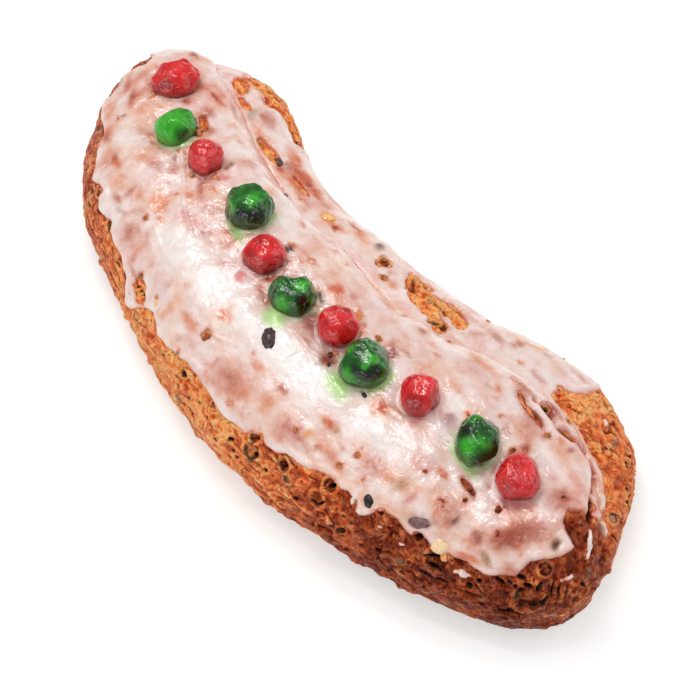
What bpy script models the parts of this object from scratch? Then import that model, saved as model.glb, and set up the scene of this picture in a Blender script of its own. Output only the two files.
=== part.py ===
"""A glazed Christmas stollen with eleven glace cherries, at its real size.

The loaf is one piece of dough: a bottom layer, and the flap that is folded over it from the front. The
flap's back edge lies on the bottom layer, a little behind the middle, and that step is the fold's crease.
The cherries are pressed into the crest of the flap. The thin glaze has no solid here.

Frame: metres, +Z up. +X runs along the loaf, its curved-out side faces -Y, its fold opens towards +Y, and
the origin is under the middle of its box, on the table.
"""

import math

import bmesh
import bpy
import numpy as np
from mathutils import Matrix, Vector, noise
from mathutils.bvhtree import BVHTree

MM = 0.001

# ---- driving dimensions, millimetres ---------------------------------------------------------------------
FLAP_CREST = (43.0, 48.0, 51.0, 52.0, 51.0, 50.0, 45.0)  # height of the folded flap, left end to right end
BOTTOM_CREST = (31.0, 31.0, 30.0, 32.0, 31.0)  # height of the bottom layer, left end to right end
FRONT_RIM = 17.0  # height of the widest line on the front, where the dough bulges most
BACK_RIM = 33.0  # height of the flap's free edge, where it lies on the bottom layer
BOTTOM_RIM = 13.0
UNDERCUT = 9.0  # how far the side pulls in below its widest line
FLAP_SINK = 9.0  # how far each rounded underside reaches below the table before the flat base is cut
BOTTOM_SINK = 7.0
DOME = 2.35  # 2 is an ellipse, more is a fuller shoulder
LUMP = 1.4  # height of the kneaded unevenness
LUMP_SIZE = 24.0
LUMP_START = (22.0, 9.5, 5.7)
LUMP_STEPS = [Vector((0, 0, 0)), Vector((31.4, 0, 9.2)), Vector((0, 47.1, 5.3))]

# The plan of each layer at its widest line, and the ridge that it rises to, in millimetres.
FLAP_PLAN = [
    (159, -6), (160, 9.5), (147, 21), (133, 31), (112, 42), (88, 44), (62, 37), (36, 26),
    (8, 21), (-22, 20), (-52, 17), (-88, 23), (-124, 33), (-147, 33), (-159, 14), (-157, -7),
    (-142, -29), (-112, -51.5), (-66, -63), (-15, -72), (33, -69), (75, -59), (115, -43), (146, -24.5),
]
FLAP_RIDGE = [(-126, 6), (-90, -3), (-48, -9), (0, -14), (42, -10), (82, 0), (118, 5)]
BOTTOM_PLAN = [
    (156, 10), (151, 28.5), (131.5, 57), (104, 72.5), (75, 72), (39, 57.5), (0, 48), (-40, 42),
    (-72, 42), (-110, 56.5), (-143, 44), (-153, 16), (-105, -28), (-20, -40), (70, -35), (140, -12),
]
BOTTOM_RIDGE = [(-112, 24), (-60, 8), (0, 8), (60, 22), (112, 26)]

# Each cherry: colour, place in plan, length, width and height, and the direction of its length in degrees.
CHERRIES = [
    ("red", -131, 13, 22.0, 18.5, 17.0, 40),
    ("green", -107.5, -3.5, 20.0, 18.5, 18.0, 70),
    ("red", -85, -3, 17.5, 16.5, 17.0, -20),
    ("green", -51.5, -4.5, 22.5, 20.5, 20.0, -30),
    ("red", -29, -13, 19.5, 17.5, 16.5, 60),
    ("green", -5, -15.5, 21.5, 18.5, 17.5, 35),
    ("red", 17, -10, 19.0, 17.5, 18.0, -60),
    ("green", 38, -12, 22.0, 20.5, 21.0, -45),
    ("red", 62, -2.5, 19.0, 16.5, 18.0, -40),
    ("green", 91.5, 2.5, 22.0, 18.5, 20.0, -50),
    ("red", 112.5, 6.5, 21.0, 18.0, 19.5, -30),
]
CHERRY_PRESSED = 0.28  # share of a cherry's height that is pressed below the crust
SOCKET_GAP = 0.3

# ---- how finely the solids are faceted -------------------------------------------------------------------
AROUND = 88
TOP_RINGS = 9
UNDER_RINGS = 4
INNERMOST = 0.1  # the first ring, as a share of the way from the ridge to the rim

CRUST = (0.42, 0.20, 0.085, 1.0)
RED = (0.55, 0.02, 0.03, 1.0)
GREEN = (0.02, 0.22, 0.03, 1.0)


def clear_scene():
    for obj in list(bpy.data.objects):
        bpy.data.objects.remove(obj)


def material(name, colour, roughness):
    made = bpy.data.materials.new(name)
    made.use_nodes = True
    shader = made.node_tree.nodes["Principled BSDF"]
    shader.inputs["Base Color"].default_value = colour
    shader.inputs["Roughness"].default_value = roughness
    shader.inputs["Metallic"].default_value = 0.0
    return made


def new_object(name, mesh, finish):
    obj = bpy.data.objects.new(name, mesh)
    bpy.context.scene.collection.objects.link(obj)
    obj.data.materials.append(finish)
    return obj


def smooth_curve(points, count, closed):
    """count points at equal steps along a Catmull-Rom curve through the given ones."""
    knots = np.array(points, float)
    if closed:
        knots = np.vstack([knots[-1], knots, knots[0], knots[1]])
    else:
        knots = np.vstack([2 * knots[0] - knots[1], knots, 2 * knots[-1] - knots[-2]])
    t = np.linspace(0, 1, 24, endpoint=False)[:, None]
    dense = []
    for a, b, c, d in zip(knots, knots[1:], knots[2:], knots[3:], strict=False):
        dense.append(0.5 * (2 * b + (c - a) * t + (2 * a - 5 * b + 4 * c - d) * t**2
                            + (3 * b - a - 3 * c + d) * t**3))
    dense = np.vstack([*dense, knots[-2][None]])
    run = np.concatenate([[0], np.cumsum(np.linalg.norm(np.diff(dense[:, :2], axis=0), axis=1))])
    steps = np.linspace(0, run[-1], count, endpoint=not closed)
    return np.stack([np.interp(steps, run, dense[:, k]) for k in range(dense.shape[1])], axis=1)


def ridge_points(ridge, crest):
    """The ridge with its height as a third coordinate."""
    plan = smooth_curve(ridge, 200, closed=False)
    share = np.linspace(0, 1, len(plan))
    height = np.interp(share, np.linspace(0, 1, len(crest)), crest)
    return np.column_stack([plan, height])


def feet_on_ridge(plan, ridge):
    """For each point of the plan, the point of the ridge that its section rises to."""
    nearest = np.linalg.norm(plan[:, None] - ridge[None, :, :2], axis=2).argmin(axis=1).astype(float)
    for _ in range(6):
        nearest = (np.roll(nearest, 1) + nearest + np.roll(nearest, -1)) / 3
    steps = np.arange(len(ridge))
    return np.stack([np.interp(nearest, steps, ridge[:, k]) for k in range(3)], axis=1)


def layer_rings(plan_points, ridge, crest, front_rim, back_rim, sink):
    """The rings of one layer of dough, from beside its ridge over its widest line to below the table."""
    plan = smooth_curve(plan_points, AROUND, closed=True)
    feet = feet_on_ridge(plan, ridge_points(ridge, crest))
    out = plan - feet[:, :2]
    reach = np.linalg.norm(out, axis=1)
    backness = np.clip(0.5 + 0.9 * out[:, 1] / reach, 0, 1)
    rim = front_rim + (back_rim - front_rim) * backness**2 * (3 - 2 * backness)
    rings = []
    for angle in np.linspace(0, math.pi / 2, TOP_RINGS):
        share = INNERMOST + (1 - INNERMOST) * math.sin(angle)
        rise = (1 - share**DOME) ** (1 / DOME)
        height = rim + (feet[:, 2] - rim) * rise
        rings.append(np.column_stack([feet[:, :2] + out * share, height]))
    for angle in np.linspace(0, math.pi / 2, UNDER_RINGS + 1)[1:]:
        inward = 1 - UNDERCUT * (1 - math.cos(angle)) / reach
        height = rim - (rim + sink) * math.sin(angle)
        rings.append(np.column_stack([feet[:, :2] + out * inward[:, None], height]))
    return rings


def close_ridge(work, ring):
    """Closes the narrow strip over the ridge, zipping its front edge to its back edge from end to end."""
    along = [vert.co.x for vert in ring]
    left, right = along.index(min(along)), along.index(max(along))
    count = len(ring)
    forward = [ring[(left + k) % count] for k in range((right - left) % count + 1)]
    backward = [ring[(left - k) % count] for k in range((left - right) % count + 1)]
    a, b = 0, 0
    while a + 1 < len(forward) or b + 1 < len(backward):
        step_a = forward[a + 1].co.x if a + 1 < len(forward) else math.inf
        step_b = backward[b + 1].co.x if b + 1 < len(backward) else math.inf
        if step_a <= step_b:
            corners = (forward[a], forward[a + 1], backward[b])
            a += 1
        else:
            corners = (forward[a], backward[b + 1], backward[b])
            b += 1
        if len(set(corners)) == 3:
            work.faces.new(corners)


def layer_mesh(name, rings):
    work = bmesh.new()
    verts = [[work.verts.new(point * MM) for point in ring] for ring in rings]
    for upper, lower in zip(verts, verts[1:], strict=False):
        for i in range(len(upper)):
            j = (i + 1) % len(upper)
            work.faces.new((upper[i], lower[i], lower[j], upper[j]))
    close_ridge(work, verts[0])
    work.faces.new(verts[-1])
    bmesh.ops.triangulate(work, faces=work.faces[:])
    bmesh.ops.recalc_face_normals(work, faces=work.faces[:])
    mesh = bpy.data.meshes.new(name)
    work.to_mesh(mesh)
    work.free()
    return mesh


def helper(name, mesh):
    """An object that only cuts or joins, which neither the build nor a render shows."""
    obj = bpy.data.objects.new(name, mesh)
    bpy.context.scene.collection.objects.link(obj)
    obj.hide_render = True
    obj.display_type = "WIRE"
    return obj


def applied(obj):
    """The object's mesh with its modifiers, as a mesh of its own."""
    bpy.context.view_layer.update()
    graph = bpy.context.evaluated_depsgraph_get()
    return bpy.data.meshes.new_from_object(obj.evaluated_get(graph))


def boolean(obj, other, operation):
    modifier = obj.modifiers.new(operation.title(), "BOOLEAN")
    modifier.operation = operation
    modifier.object = other
    modifier.solver = "EXACT"


def lumps(point):
    """The unevenness of kneaded dough: a slow drift that fades out at the table."""
    place = point / (LUMP_SIZE * MM) + Vector(LUMP_START)
    drift = Vector([noise.noise(place + step) for step in LUMP_STEPS])
    return drift * LUMP * MM * min(max(point.z / (12 * MM), 0), 1)


def flatten_base(work):
    """Cuts off what lies below the table and closes the flat base."""
    edges_and_faces = work.verts[:] + work.edges[:] + work.faces[:]
    cut = bmesh.ops.bisect_plane(
        work, geom=edges_and_faces, dist=1e-6, plane_co=(0, 0, 0), plane_no=(0, 0, -1), clear_outer=True
    )
    rim = [part for part in cut["geom_cut"] if isinstance(part, bmesh.types.BMEdge)]
    bmesh.ops.contextual_create(work, geom=rim)
    bmesh.ops.triangulate(work, faces=[f for f in work.faces if len(f.verts) > 3])
    bmesh.ops.recalc_face_normals(work, faces=work.faces[:])


def loaf_mesh():
    """Both layers joined into the one folded piece, with its lumps and its flat base."""
    flap_rings = layer_rings(FLAP_PLAN, FLAP_RIDGE, FLAP_CREST, FRONT_RIM, BACK_RIM, FLAP_SINK)
    bottom_rings = layer_rings(BOTTOM_PLAN, BOTTOM_RIDGE, BOTTOM_CREST, BOTTOM_RIM, BOTTOM_RIM, BOTTOM_SINK)
    flap = helper("flap_layer", layer_mesh("flap_layer", flap_rings))
    bottom = helper("bottom_layer", layer_mesh("bottom_layer", bottom_rings))
    boolean(flap, bottom, "UNION")
    work = bmesh.new()
    work.from_mesh(applied(flap))
    bmesh.ops.remove_doubles(work, verts=work.verts[:], dist=0.2 * MM)
    for vert in work.verts:
        vert.co += lumps(vert.co)
    flatten_base(work)
    mesh = bpy.data.meshes.new("loaf")
    work.to_mesh(mesh)
    work.free()
    for spare in (flap, bottom):
        bpy.data.objects.remove(spare)
    return mesh


def centre_on_table(mesh):
    """Moves the mesh so that the origin is under the middle of its box. Returns the move."""
    points = np.array([vert.co for vert in mesh.vertices])
    middle = (points.min(axis=0) + points.max(axis=0)) / 2
    move = Vector((-middle[0], -middle[1], 0))
    mesh.transform(Matrix.Translation(move))
    return move


def cherry_mesh(name, sides, turn, grow=0.0):
    """A candied cherry about its own middle: a squashed ball with a seam, a stalk dimple and slack sides."""
    work = bmesh.new()
    bmesh.ops.create_icosphere(work, subdivisions=3, radius=1.0)
    half = Vector(sides) / 2
    seed = Vector((turn, 1.7 * turn, 0.3 * turn))
    for vert in work.verts:
        way = vert.co.normalized()
        angle = math.atan2(way.y, way.x)
        level = math.hypot(way.x, way.y)
        seam = 0.09 * math.exp(-((math.sin(angle / 2) / 0.28) ** 2)) * level
        dimple = 0.16 * math.exp(-((level / 0.35) ** 2)) * (way.z > 0)
        slack = 0.06 * noise.noise(way * 1.3 + seed)
        size = 1 - seam - dimple + slack
        vert.co = Vector((way.x * half.x, way.y * half.y, way.z * half.z)) * size + way * grow
    work.transform(Matrix.Scale(MM, 4))
    mesh = bpy.data.meshes.new(name)
    work.to_mesh(mesh)
    work.free()
    return mesh


def place_on_crest(surface, x, y, height, turn):
    """The matrix that stands a cherry on the crust, pressed in a little, square to the slope."""
    point, normal, _, _ = surface.ray_cast(Vector((x, y, 1.0)), Vector((0, 0, -1)))
    lean = Vector((0, 0, 1)).rotation_difference(normal).to_matrix().to_4x4()
    middle = point + normal * height * MM * (0.5 - CHERRY_PRESSED)
    return Matrix.Translation(middle) @ lean @ Matrix.Rotation(math.radians(turn), 4, "Z")


def add_cherries(loaf, move, finishes):
    """The cherries, each in its own socket in the loaf."""
    crust = bmesh.new()
    crust.from_mesh(loaf.data)
    surface = BVHTree.FromBMesh(crust)
    crust.free()
    counts = {"red": 0, "green": 0}
    for colour, x, y, *sides, turn in CHERRIES:
        counts[colour] += 1
        name = f"cherry_{colour}_{counts[colour]}"
        place = place_on_crest(surface, x * MM + move.x, y * MM + move.y, sides[2], turn)
        cherry = new_object(name, cherry_mesh(name, sides, turn), finishes[colour])
        cherry.matrix_world = place
        cherry.data.shade_smooth()
        socket = helper(name + "_socket", cherry_mesh(name, sides, turn, grow=SOCKET_GAP))
        socket.matrix_world = place
        boolean(loaf, socket, "DIFFERENCE")


def main():
    clear_scene()
    finishes = {
        "crust": material("crust", CRUST, 0.6),
        "red": material("red_cherry", RED, 0.15),
        "green": material("green_cherry", GREEN, 0.15),
    }
    mesh = loaf_mesh()
    move = centre_on_table(mesh)
    loaf = new_object("loaf", mesh, finishes["crust"])
    add_cherries(loaf, move, finishes)


main()
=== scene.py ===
"""The look of the glazed Christmas stollen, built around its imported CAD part.

The crust and the glaze both grow from one smooth skin, which follows the CAD loaf. The crust is the skin with the
relief of baked dough. The glaze lies over it as a sheet of its own: where the dough stands higher than the glaze,
it shows through. The cherries grow from their CAD solids. Lengths here are millimetres, and MM turns them into
metres.
"""

import itertools
import math

import bmesh
import bpy
import numpy as np
from mathutils import Matrix, Vector
from mathutils.bvhtree import BVHTree


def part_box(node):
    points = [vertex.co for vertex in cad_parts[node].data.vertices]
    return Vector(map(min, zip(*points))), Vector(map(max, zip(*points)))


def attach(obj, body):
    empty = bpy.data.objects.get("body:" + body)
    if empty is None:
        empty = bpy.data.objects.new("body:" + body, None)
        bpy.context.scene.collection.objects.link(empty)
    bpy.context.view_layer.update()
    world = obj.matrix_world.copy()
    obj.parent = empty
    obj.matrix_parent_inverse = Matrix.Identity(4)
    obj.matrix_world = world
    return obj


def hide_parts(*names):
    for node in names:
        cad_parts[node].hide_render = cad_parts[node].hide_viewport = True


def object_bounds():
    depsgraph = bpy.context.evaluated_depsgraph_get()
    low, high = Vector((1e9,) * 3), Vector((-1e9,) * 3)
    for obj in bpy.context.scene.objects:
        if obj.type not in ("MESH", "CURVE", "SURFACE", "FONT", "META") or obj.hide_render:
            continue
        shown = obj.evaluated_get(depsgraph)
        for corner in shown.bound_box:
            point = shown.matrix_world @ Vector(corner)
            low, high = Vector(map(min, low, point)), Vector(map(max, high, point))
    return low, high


MM = 0.001
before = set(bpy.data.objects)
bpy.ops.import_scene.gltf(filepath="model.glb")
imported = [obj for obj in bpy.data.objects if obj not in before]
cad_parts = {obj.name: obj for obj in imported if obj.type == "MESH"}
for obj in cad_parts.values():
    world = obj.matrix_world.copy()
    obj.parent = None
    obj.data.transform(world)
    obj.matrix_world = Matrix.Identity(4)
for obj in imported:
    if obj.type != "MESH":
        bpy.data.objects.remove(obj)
CAD_LOW, CAD_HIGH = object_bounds()
RANDOM = np.random.default_rng(2412)

# ---- the skin ---------------------------------------------------------------------------------------------
VOXEL = 1.3
SMOOTHINGS = 14

# ---- the glaze's outline in plan, from the front edge's left end, round the right end and back along the fold
GLAZE_OUTLINE = [
    (-170.5, 40.5), (-162, 17), (-153, 13.5), (-150.7, 9), (-153.6, 4.7), (-156.5, -1.5), (-152.5, -6), (-149.5, -9.7),
    (-150.5, -14.5), (-145, -20), (-138, -23), (-133, -26), (-128.7, -32.6), (-122.8, -39), (-119.5, -42.5),
    (-113.5, -42), (-108, -43), (-107.5, -46.5), (-103.5, -49), (-95.5, -49.5), (-92.5, -49), (-88.5, -52),
    (-85, -53.5), (-80.5, -54.5), (-76.5, -55), (-72.5, -57.5), (-68.5, -58.5), (-66.5, -61.5), (-63.5, -63.8),
    (-58.5, -64), (-54.5, -63), (-50.5, -61.5), (-45.5, -61), (-40.5, -62.5), (-35.5, -64.5), (-28.5, -65),
    (-22.5, -64.5), (-16.5, -63.5), (-8.5, -63.5), (-2.5, -64.5), (3.5, -65.5), (9.5, -66), (14.5, -65.5),
    (19.5, -64), (24.5, -64), (27.5, -61.5), (30.5, -59.5), (34.5, -60.5), (39.5, -59), (43.5, -56.5), (49.5, -55.5),
    (54.5, -54), (59.5, -50.5), (65.5, -49), (69.5, -49), (72.5, -47.5), (77.5, -47), (79.5, -49), (81.5, -49.5),
    (83.5, -48), (85.5, -44.5), (87.5, -41.5), (91.5, -40), (96.5, -39), (101.5, -38.5), (103.5, -35.5),
    (107.5, -34.5), (111.5, -34.5), (117.5, -31), (120.5, -29), (127.5, -26.5), (131.5, -25), (134.5, -22),
    (137.2, -19.2), (139.6, -16.5), (139.8, -13), (139.2, -9.1), (143.2, -2.5), (145.6, 4.7), (145.5, 8.3), (140.7, 8.6),
    (135.1, 10.3), (133, 14.6), (136.5, 20), (140, 24), (138.5, 29.5), (135.5, 34.5), (130, 38.8), (124, 42),
    (117.5, 44), (110.5, 45.5), (103.1, 46.3), (96.7, 46.8), (89.4, 47.8), (84.1, 49), (83.5, 51.7), (85.4, 55.7),
    (88.8, 58.8), (90.7, 61.7), (90.2, 65.1), (89.7, 71.5), (86.5, 78), (79.5, 90.5), (-170.5, 90.5),
]

# ---- the fold's crease in plan, and how far the back lobe's glaze comes down, as places along the loaf
CREASE = [
    (-144.5, 35.5), (-131.5, 32.5), (-119.5, 31.5), (-105.5, 28.5), (-93.5, 24.5), (-81.5, 22.5), (-70.5, 20.5), (-60.5, 19.5), (-45.5, 18.5),
    (-28.5, 20.5), (-16.5, 22.5), (0.5, 22.5), (11.5, 22.5), (27.5, 25.5), (37.5, 27), (47.5, 31.5), (57.5, 36.5), (66.5, 39.5), (78.5, 42),
    (89.4, 44.5), (99.6, 44.8), (111.8, 42.3), (122.1, 37.8), (131.8, 32.3), (140.5, 26), (147.5, 20.3), (154, 15.5),
]
# the gap under the fold's edge near the right end
SLIT = [
    (86.7, 37.1, 42.6), (92.7, 37.4, 42.8), (102, 37, 42.4), (110.7, 39.4, 39.1), (114, 41, 34), (118.6, 39.2, 32.5),
    (123.2, 36.5, 32.5), (129, 32, 34.5), (135.4, 25.8, 38.8), (139.7, 21, 40),
]
BACK_LIMIT_X = (-165, -140, -128, -118, -97, -86, -80, -60, 0, 60, 85)
BACK_LIMIT_Z = (22, 18, 22, 27, 26, 23, 14, 14, 12, 13, 14)


# ---- noise ------------------------------------------------------------------------------------------------
def shuffled(seed):
    table = np.random.default_rng(seed).permutation(256)
    return np.concatenate([table, table])


ORDER = shuffled(7)
WAYS = np.random.default_rng(8).normal(size=(256, 3))
WAYS /= np.linalg.norm(WAYS, axis=1, keepdims=True)
SCATTER = np.random.default_rng(9).random((256, 4))


def lattice(cell):
    """A number from 0 to 255 for each whole-numbered cell."""
    x, y, z = (cell & 255).T
    return ORDER[ORDER[ORDER[x] + y] + z]


def noise(points, size, seed=0):
    """Smooth noise from about -1 to 1, with bumps about size millimetres across."""
    place = points / size + np.array([17.3, 5.1, 29.7]) * (seed + 1)
    cell = np.floor(place).astype(np.int64)
    part = place - cell
    ease = part**3 * (part * (part * 6 - 15) + 10)
    total = np.zeros(len(points))
    for corner in itertools.product((0, 1), repeat=3):
        step = np.array(corner)
        weight = np.prod(np.where(step, ease, 1 - ease), axis=1)
        slope = WAYS[lattice(cell + step)]
        total += weight * np.einsum("ij,ij->i", slope, part - step)
    return total * 1.6


def layered(points, size, octaves, seed=0):
    """Noise with finer and fainter noise on it."""
    return sum(noise(points, size / 2**k, seed + k) / 2**k for k in range(octaves))


def cells(points, size, seed=0):
    """The distance to the nearest of a set of scattered seeds about size apart, and that seed's own number."""
    place = points / size + np.array([3.7, 11.9, 7.3]) * (seed + 1)
    cell = np.floor(place).astype(np.int64)
    part = place - cell
    best = np.full(len(points), 9.0)
    own = np.zeros(len(points))
    for corner in itertools.product((-1, 0, 1), repeat=3):
        step = np.array(corner)
        key = lattice(cell + step)
        away = np.linalg.norm(step + SCATTER[key, :3] - part, axis=1)
        nearer = away < best
        best = np.where(nearer, away, best)
        own = np.where(nearer, SCATTER[key, 3], own)
    return best * size, own


def smoothstep(value, low, high):
    t = np.clip((value - low) / (high - low), 0, 1)
    return t * t * (3 - 2 * t)


def blend(a, b, share):
    share = np.asarray(share)[..., None]
    return a * (1 - share) + np.asarray(b) * share


# ---- meshes -----------------------------------------------------------------------------------------------
def points_of(mesh):
    flat = np.empty(len(mesh.vertices) * 3, np.float32)
    mesh.vertices.foreach_get("co", flat)
    return flat.reshape(-1, 3).astype(float) / MM


def normals_of(mesh):
    flat = np.empty(len(mesh.vertices) * 3, np.float32)
    mesh.vertices.foreach_get("normal", flat)
    return flat.reshape(-1, 3).astype(float)


def edges_of(mesh):
    flat = np.empty(len(mesh.edges) * 2, np.int32)
    mesh.edges.foreach_get("vertices", flat)
    return flat.reshape(-1, 2)


def corners_of(mesh):
    """The faces of a mesh that has only quads, as rows of four vertex numbers."""
    flat = np.empty(len(mesh.loops), np.int32)
    mesh.loops.foreach_get("vertex_index", flat)
    return flat.reshape(-1, 4)


def set_points(mesh, points):
    mesh.vertices.foreach_set("co", (points * MM).astype(np.float32).ravel())
    mesh.update()


def new_mesh(name, points, faces):
    mesh = bpy.data.meshes.new(name)
    mesh.from_pydata((np.asarray(points) * MM).tolist(), [], [list(map(int, face)) for face in faces])
    mesh.update()
    return mesh


def with_modifiers(mesh, *steps):
    """The mesh after each modifier, given as its kind and its settings."""
    carrier = bpy.data.objects.new("carrier", mesh)
    bpy.context.scene.collection.objects.link(carrier)
    for kind, settings in steps:
        modifier = carrier.modifiers.new(kind, kind)
        for key, value in settings.items():
            setattr(modifier, key, value)
    bpy.context.view_layer.update()
    graph = bpy.context.evaluated_depsgraph_get()
    made = bpy.data.meshes.new_from_object(carrier.evaluated_get(graph))
    bpy.data.objects.remove(carrier)
    return made


def relaxed(points, edges, times, share=0.5):
    """The points after each has moved towards the middle of its neighbours, times over."""
    count = len(points)
    a, b = edges.T
    degree = np.bincount(a, minlength=count) + np.bincount(b, minlength=count)
    degree = np.maximum(degree, 1)[:, None]
    for _ in range(times):
        total = np.empty_like(points)
        for k in range(points.shape[1]):
            total[:, k] = np.bincount(a, points[b, k], count) + np.bincount(b, points[a, k], count)
        points = points + share * (total / degree - points)
    return points


def attach_colour(mesh, name, colours):
    layer = mesh.color_attributes.new(name, "FLOAT_COLOR", "POINT")
    rgba = np.ones((len(colours), 4), np.float32)
    rgba[:, :3] = colours
    layer.data.foreach_set("color", rgba.ravel())


def attach_value(mesh, name, values):
    layer = mesh.attributes.new(name, "FLOAT", "POINT")
    layer.data.foreach_set("value", np.asarray(values, np.float32))


def add_piece(name, mesh, material, slot, *nodes):
    """Puts a finished mesh into the scene as a piece that rides on the loaf."""
    piece = bpy.data.objects.new(name, mesh)
    bpy.context.scene.collection.objects.link(piece)
    mesh.materials.clear()
    mesh.materials.append(material)
    mesh.shade_smooth()
    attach(piece, "root")
    if nodes:
        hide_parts(*nodes)
    return piece


# ---- the skin ---------------------------------------------------------------------------------------------
CHERRY_NODES = sorted(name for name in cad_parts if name.startswith("cherry"))


def node_tree(name):
    """A CAD node's surface, for measuring distances to it."""
    work = bmesh.new()
    work.from_mesh(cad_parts[name].data)
    tree = BVHTree.FromBMesh(work)
    work.free()
    return tree


CHERRY_TREES = {name: node_tree(name) for name in CHERRY_NODES}


def without_sockets():
    """The CAD loaf with its cherry sockets taken out and closed over."""
    work = bmesh.new()
    work.from_mesh(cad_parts["loaf"].data)
    bmesh.ops.remove_doubles(work, verts=work.verts[:], dist=0.01 * MM)
    socket = set()
    for vert in work.verts:
        for name in CHERRY_NODES:
            if CHERRY_TREES[name].find_nearest(vert.co, 0.75 * MM)[0] is not None:
                socket.add(vert)
                break
    inner = [face for face in work.faces if all(vert in socket for vert in face.verts)]
    bmesh.ops.delete(work, geom=inner, context="FACES")
    rims = [edge for edge in work.edges if edge.is_boundary]
    bmesh.ops.holes_fill(work, edges=rims, sides=0)
    bmesh.ops.triangulate(work, faces=[face for face in work.faces if len(face.verts) > 3])
    bmesh.ops.recalc_face_normals(work, faces=work.faces[:])
    mesh = bpy.data.meshes.new("closed_loaf")
    work.to_mesh(mesh)
    work.free()
    return mesh


def open_base(mesh):
    """Takes off the flat base, so that the fine skin is only where it shows."""
    work = bmesh.new()
    work.from_mesh(mesh)
    flat = [face for face in work.faces if face.normal.z < -0.9 and face.calc_center_median().z < 0.6 * MM]
    bmesh.ops.delete(work, geom=flat, context="FACES")
    made = bpy.data.meshes.new("open_loaf")
    work.to_mesh(made)
    work.free()
    return made


def make_skin():
    closed = with_modifiers(
        without_sockets(),
        ("SUBSURF", {"levels": 1, "render_levels": 1}),
        ("REMESH", {"mode": "VOXEL", "voxel_size": VOXEL * MM}),
    )
    points = relaxed(points_of(closed), edges_of(closed), SMOOTHINGS)
    points[:, 2] = np.maximum(points[:, 2], 0)
    set_points(closed, points)
    fine = with_modifiers(open_base(closed), ("SUBSURF", {"levels": 1, "render_levels": 1}))
    return closed, fine


coarse_mesh, skin_mesh = make_skin()
skin = points_of(skin_mesh)
out = normals_of(skin_mesh)
quads = corners_of(skin_mesh)


def ground_tree():
    work = bmesh.new()
    work.from_mesh(coarse_mesh)
    tree = BVHTree.FromBMesh(work)
    work.free()
    return tree


COARSE = ground_tree()


def drop(x, y):
    """The skin's point and normal straight below a place in plan."""
    point, normal, _, _ = COARSE.ray_cast(Vector((x * MM, y * MM, 1)), Vector((0, 0, -1)))
    if point is None:
        return np.array([x, y, 0.0]), np.array([0.0, 0.0, 1.0])
    return np.array(point) / MM, np.array(normal)


def line_distance(line):
    """Each skin point's distance to a line of places, which are laid on the skin where they are in plan."""
    path = np.array([drop(*place)[0] if len(place) == 2 else place for place in line])
    best = np.full(len(skin), 1e9)
    for a, b in zip(path, path[1:], strict=False):
        step = b - a
        share = np.clip((skin - a) @ step / (step @ step), 0, 1)
        best = np.minimum(best, np.linalg.norm(skin - a - share[:, None] * step, axis=1))
    return best


def inside(outline):
    """Which skin points lie inside a closed outline in plan."""
    x, y = skin[:, 0], skin[:, 1]
    found = np.zeros(len(skin), bool)
    for (x1, y1), (x2, y2) in zip(outline, outline[1:] + outline[:1], strict=True):
        crosses = (y1 > y) != (y2 > y)
        if y1 != y2:
            found ^= crosses & (x < (x2 - x1) * (y - y1) / (y2 - y1) + x1)
    return found


def spot(place, length, width, turn=0.0):
    """How far out each skin point is from a spot: 0 at its middle, 1 at its rim. Its place is in plan, or in 3-D."""
    if len(place) == 2:
        middle, normal = drop(*place)
    else:
        point, normal, _, _ = COARSE.find_nearest(Vector(place) * MM)
        middle, normal = np.array(point) / MM, np.array(normal)
    along = np.array([math.cos(math.radians(turn)), math.sin(math.radians(turn)), 0.0])
    along -= normal * (along @ normal)
    along /= np.linalg.norm(along)
    across = np.cross(normal, along)
    away = skin - middle
    depth = max(length, width) / 2 + 3
    return np.sqrt((away @ along / (length / 2)) ** 2 + (away @ across / (width / 2)) ** 2
                   + (away @ normal / depth) ** 2)


# ---- the dough's relief -----------------------------------------------------------------------------------
def ridged(points, size, seed=0):
    """Noise with sharp crests, from about -1 to 1."""
    return 1 - 2.2 * np.abs(noise(points, size, seed))


STRETCH = np.array([0.38, 1.0, 1.0])        # wrinkles along x come out longer than they are wide
skin_edges = edges_of(skin_mesh)


def softened(values, times):
    """A value for each skin point, spread among its neighbours."""
    return relaxed(np.asarray(values, float)[:, None], skin_edges, times)[:, 0]


lumps = 1.0 * noise(skin, 17, 1) + 0.55 * noise(skin, 9, 2)
knots = 0.8 * noise(skin, 5.0, 3)
wrinkles = 0.6 * ridged(skin, 4.2, 4) * smoothstep(noise(skin, 12, 5), -0.4, 0.5)
streaks = 0.42 * ridged(skin * STRETCH, 4.6, 6)
grit = 0.16 * layered(skin, 2.1, 2, 7)

near_ring, ring_number = cells(skin, 12, 1)
ring_reach = 1.5 + 1.6 * ring_number
ring_here = ring_number < 0.22
ring = near_ring / ring_reach
rings = ring_here * (0.8 * np.exp(-(((ring - 1) / 0.28) ** 2)) - 1.4 * np.exp(-((ring / 0.5) ** 2)))
near_pore, pore_number = cells(skin, 4.4, 2)
pore_here = pore_number < 0.3
pore = near_pore / (0.4 + 0.9 * pore_number)
pores = -1.0 * pore_here * np.exp(-(pore**2))
near_blob, blob_number = cells(skin, 9, 3)
blob_here = blob_number > 0.58
blobs = 1.2 * blob_here * (1 - smoothstep(near_blob, 0.8, 2.9))

crack = np.abs(noise(skin * STRETCH, 7.5, 9)) + 0.3 * smoothstep(noise(skin, 12, 10), -0.3, 0.3)
cracks = np.exp(-((crack / 0.07) ** 2))

relief = lumps + knots + wrinkles + streaks + grit + rings + pores + blobs - 0.8 * cracks
# pit_shade: near-black painted shade in the ring holes, the pores and the cracks of the dough
pit_shade = np.clip(ring_here * 0.9 * np.exp(-((ring / 0.42) ** 2)) + 0.9 * pore_here * np.exp(-((pore / 0.8) ** 2)), 0, 1)
pit_shade = np.maximum(pit_shade, 0.6 * cracks)

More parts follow.
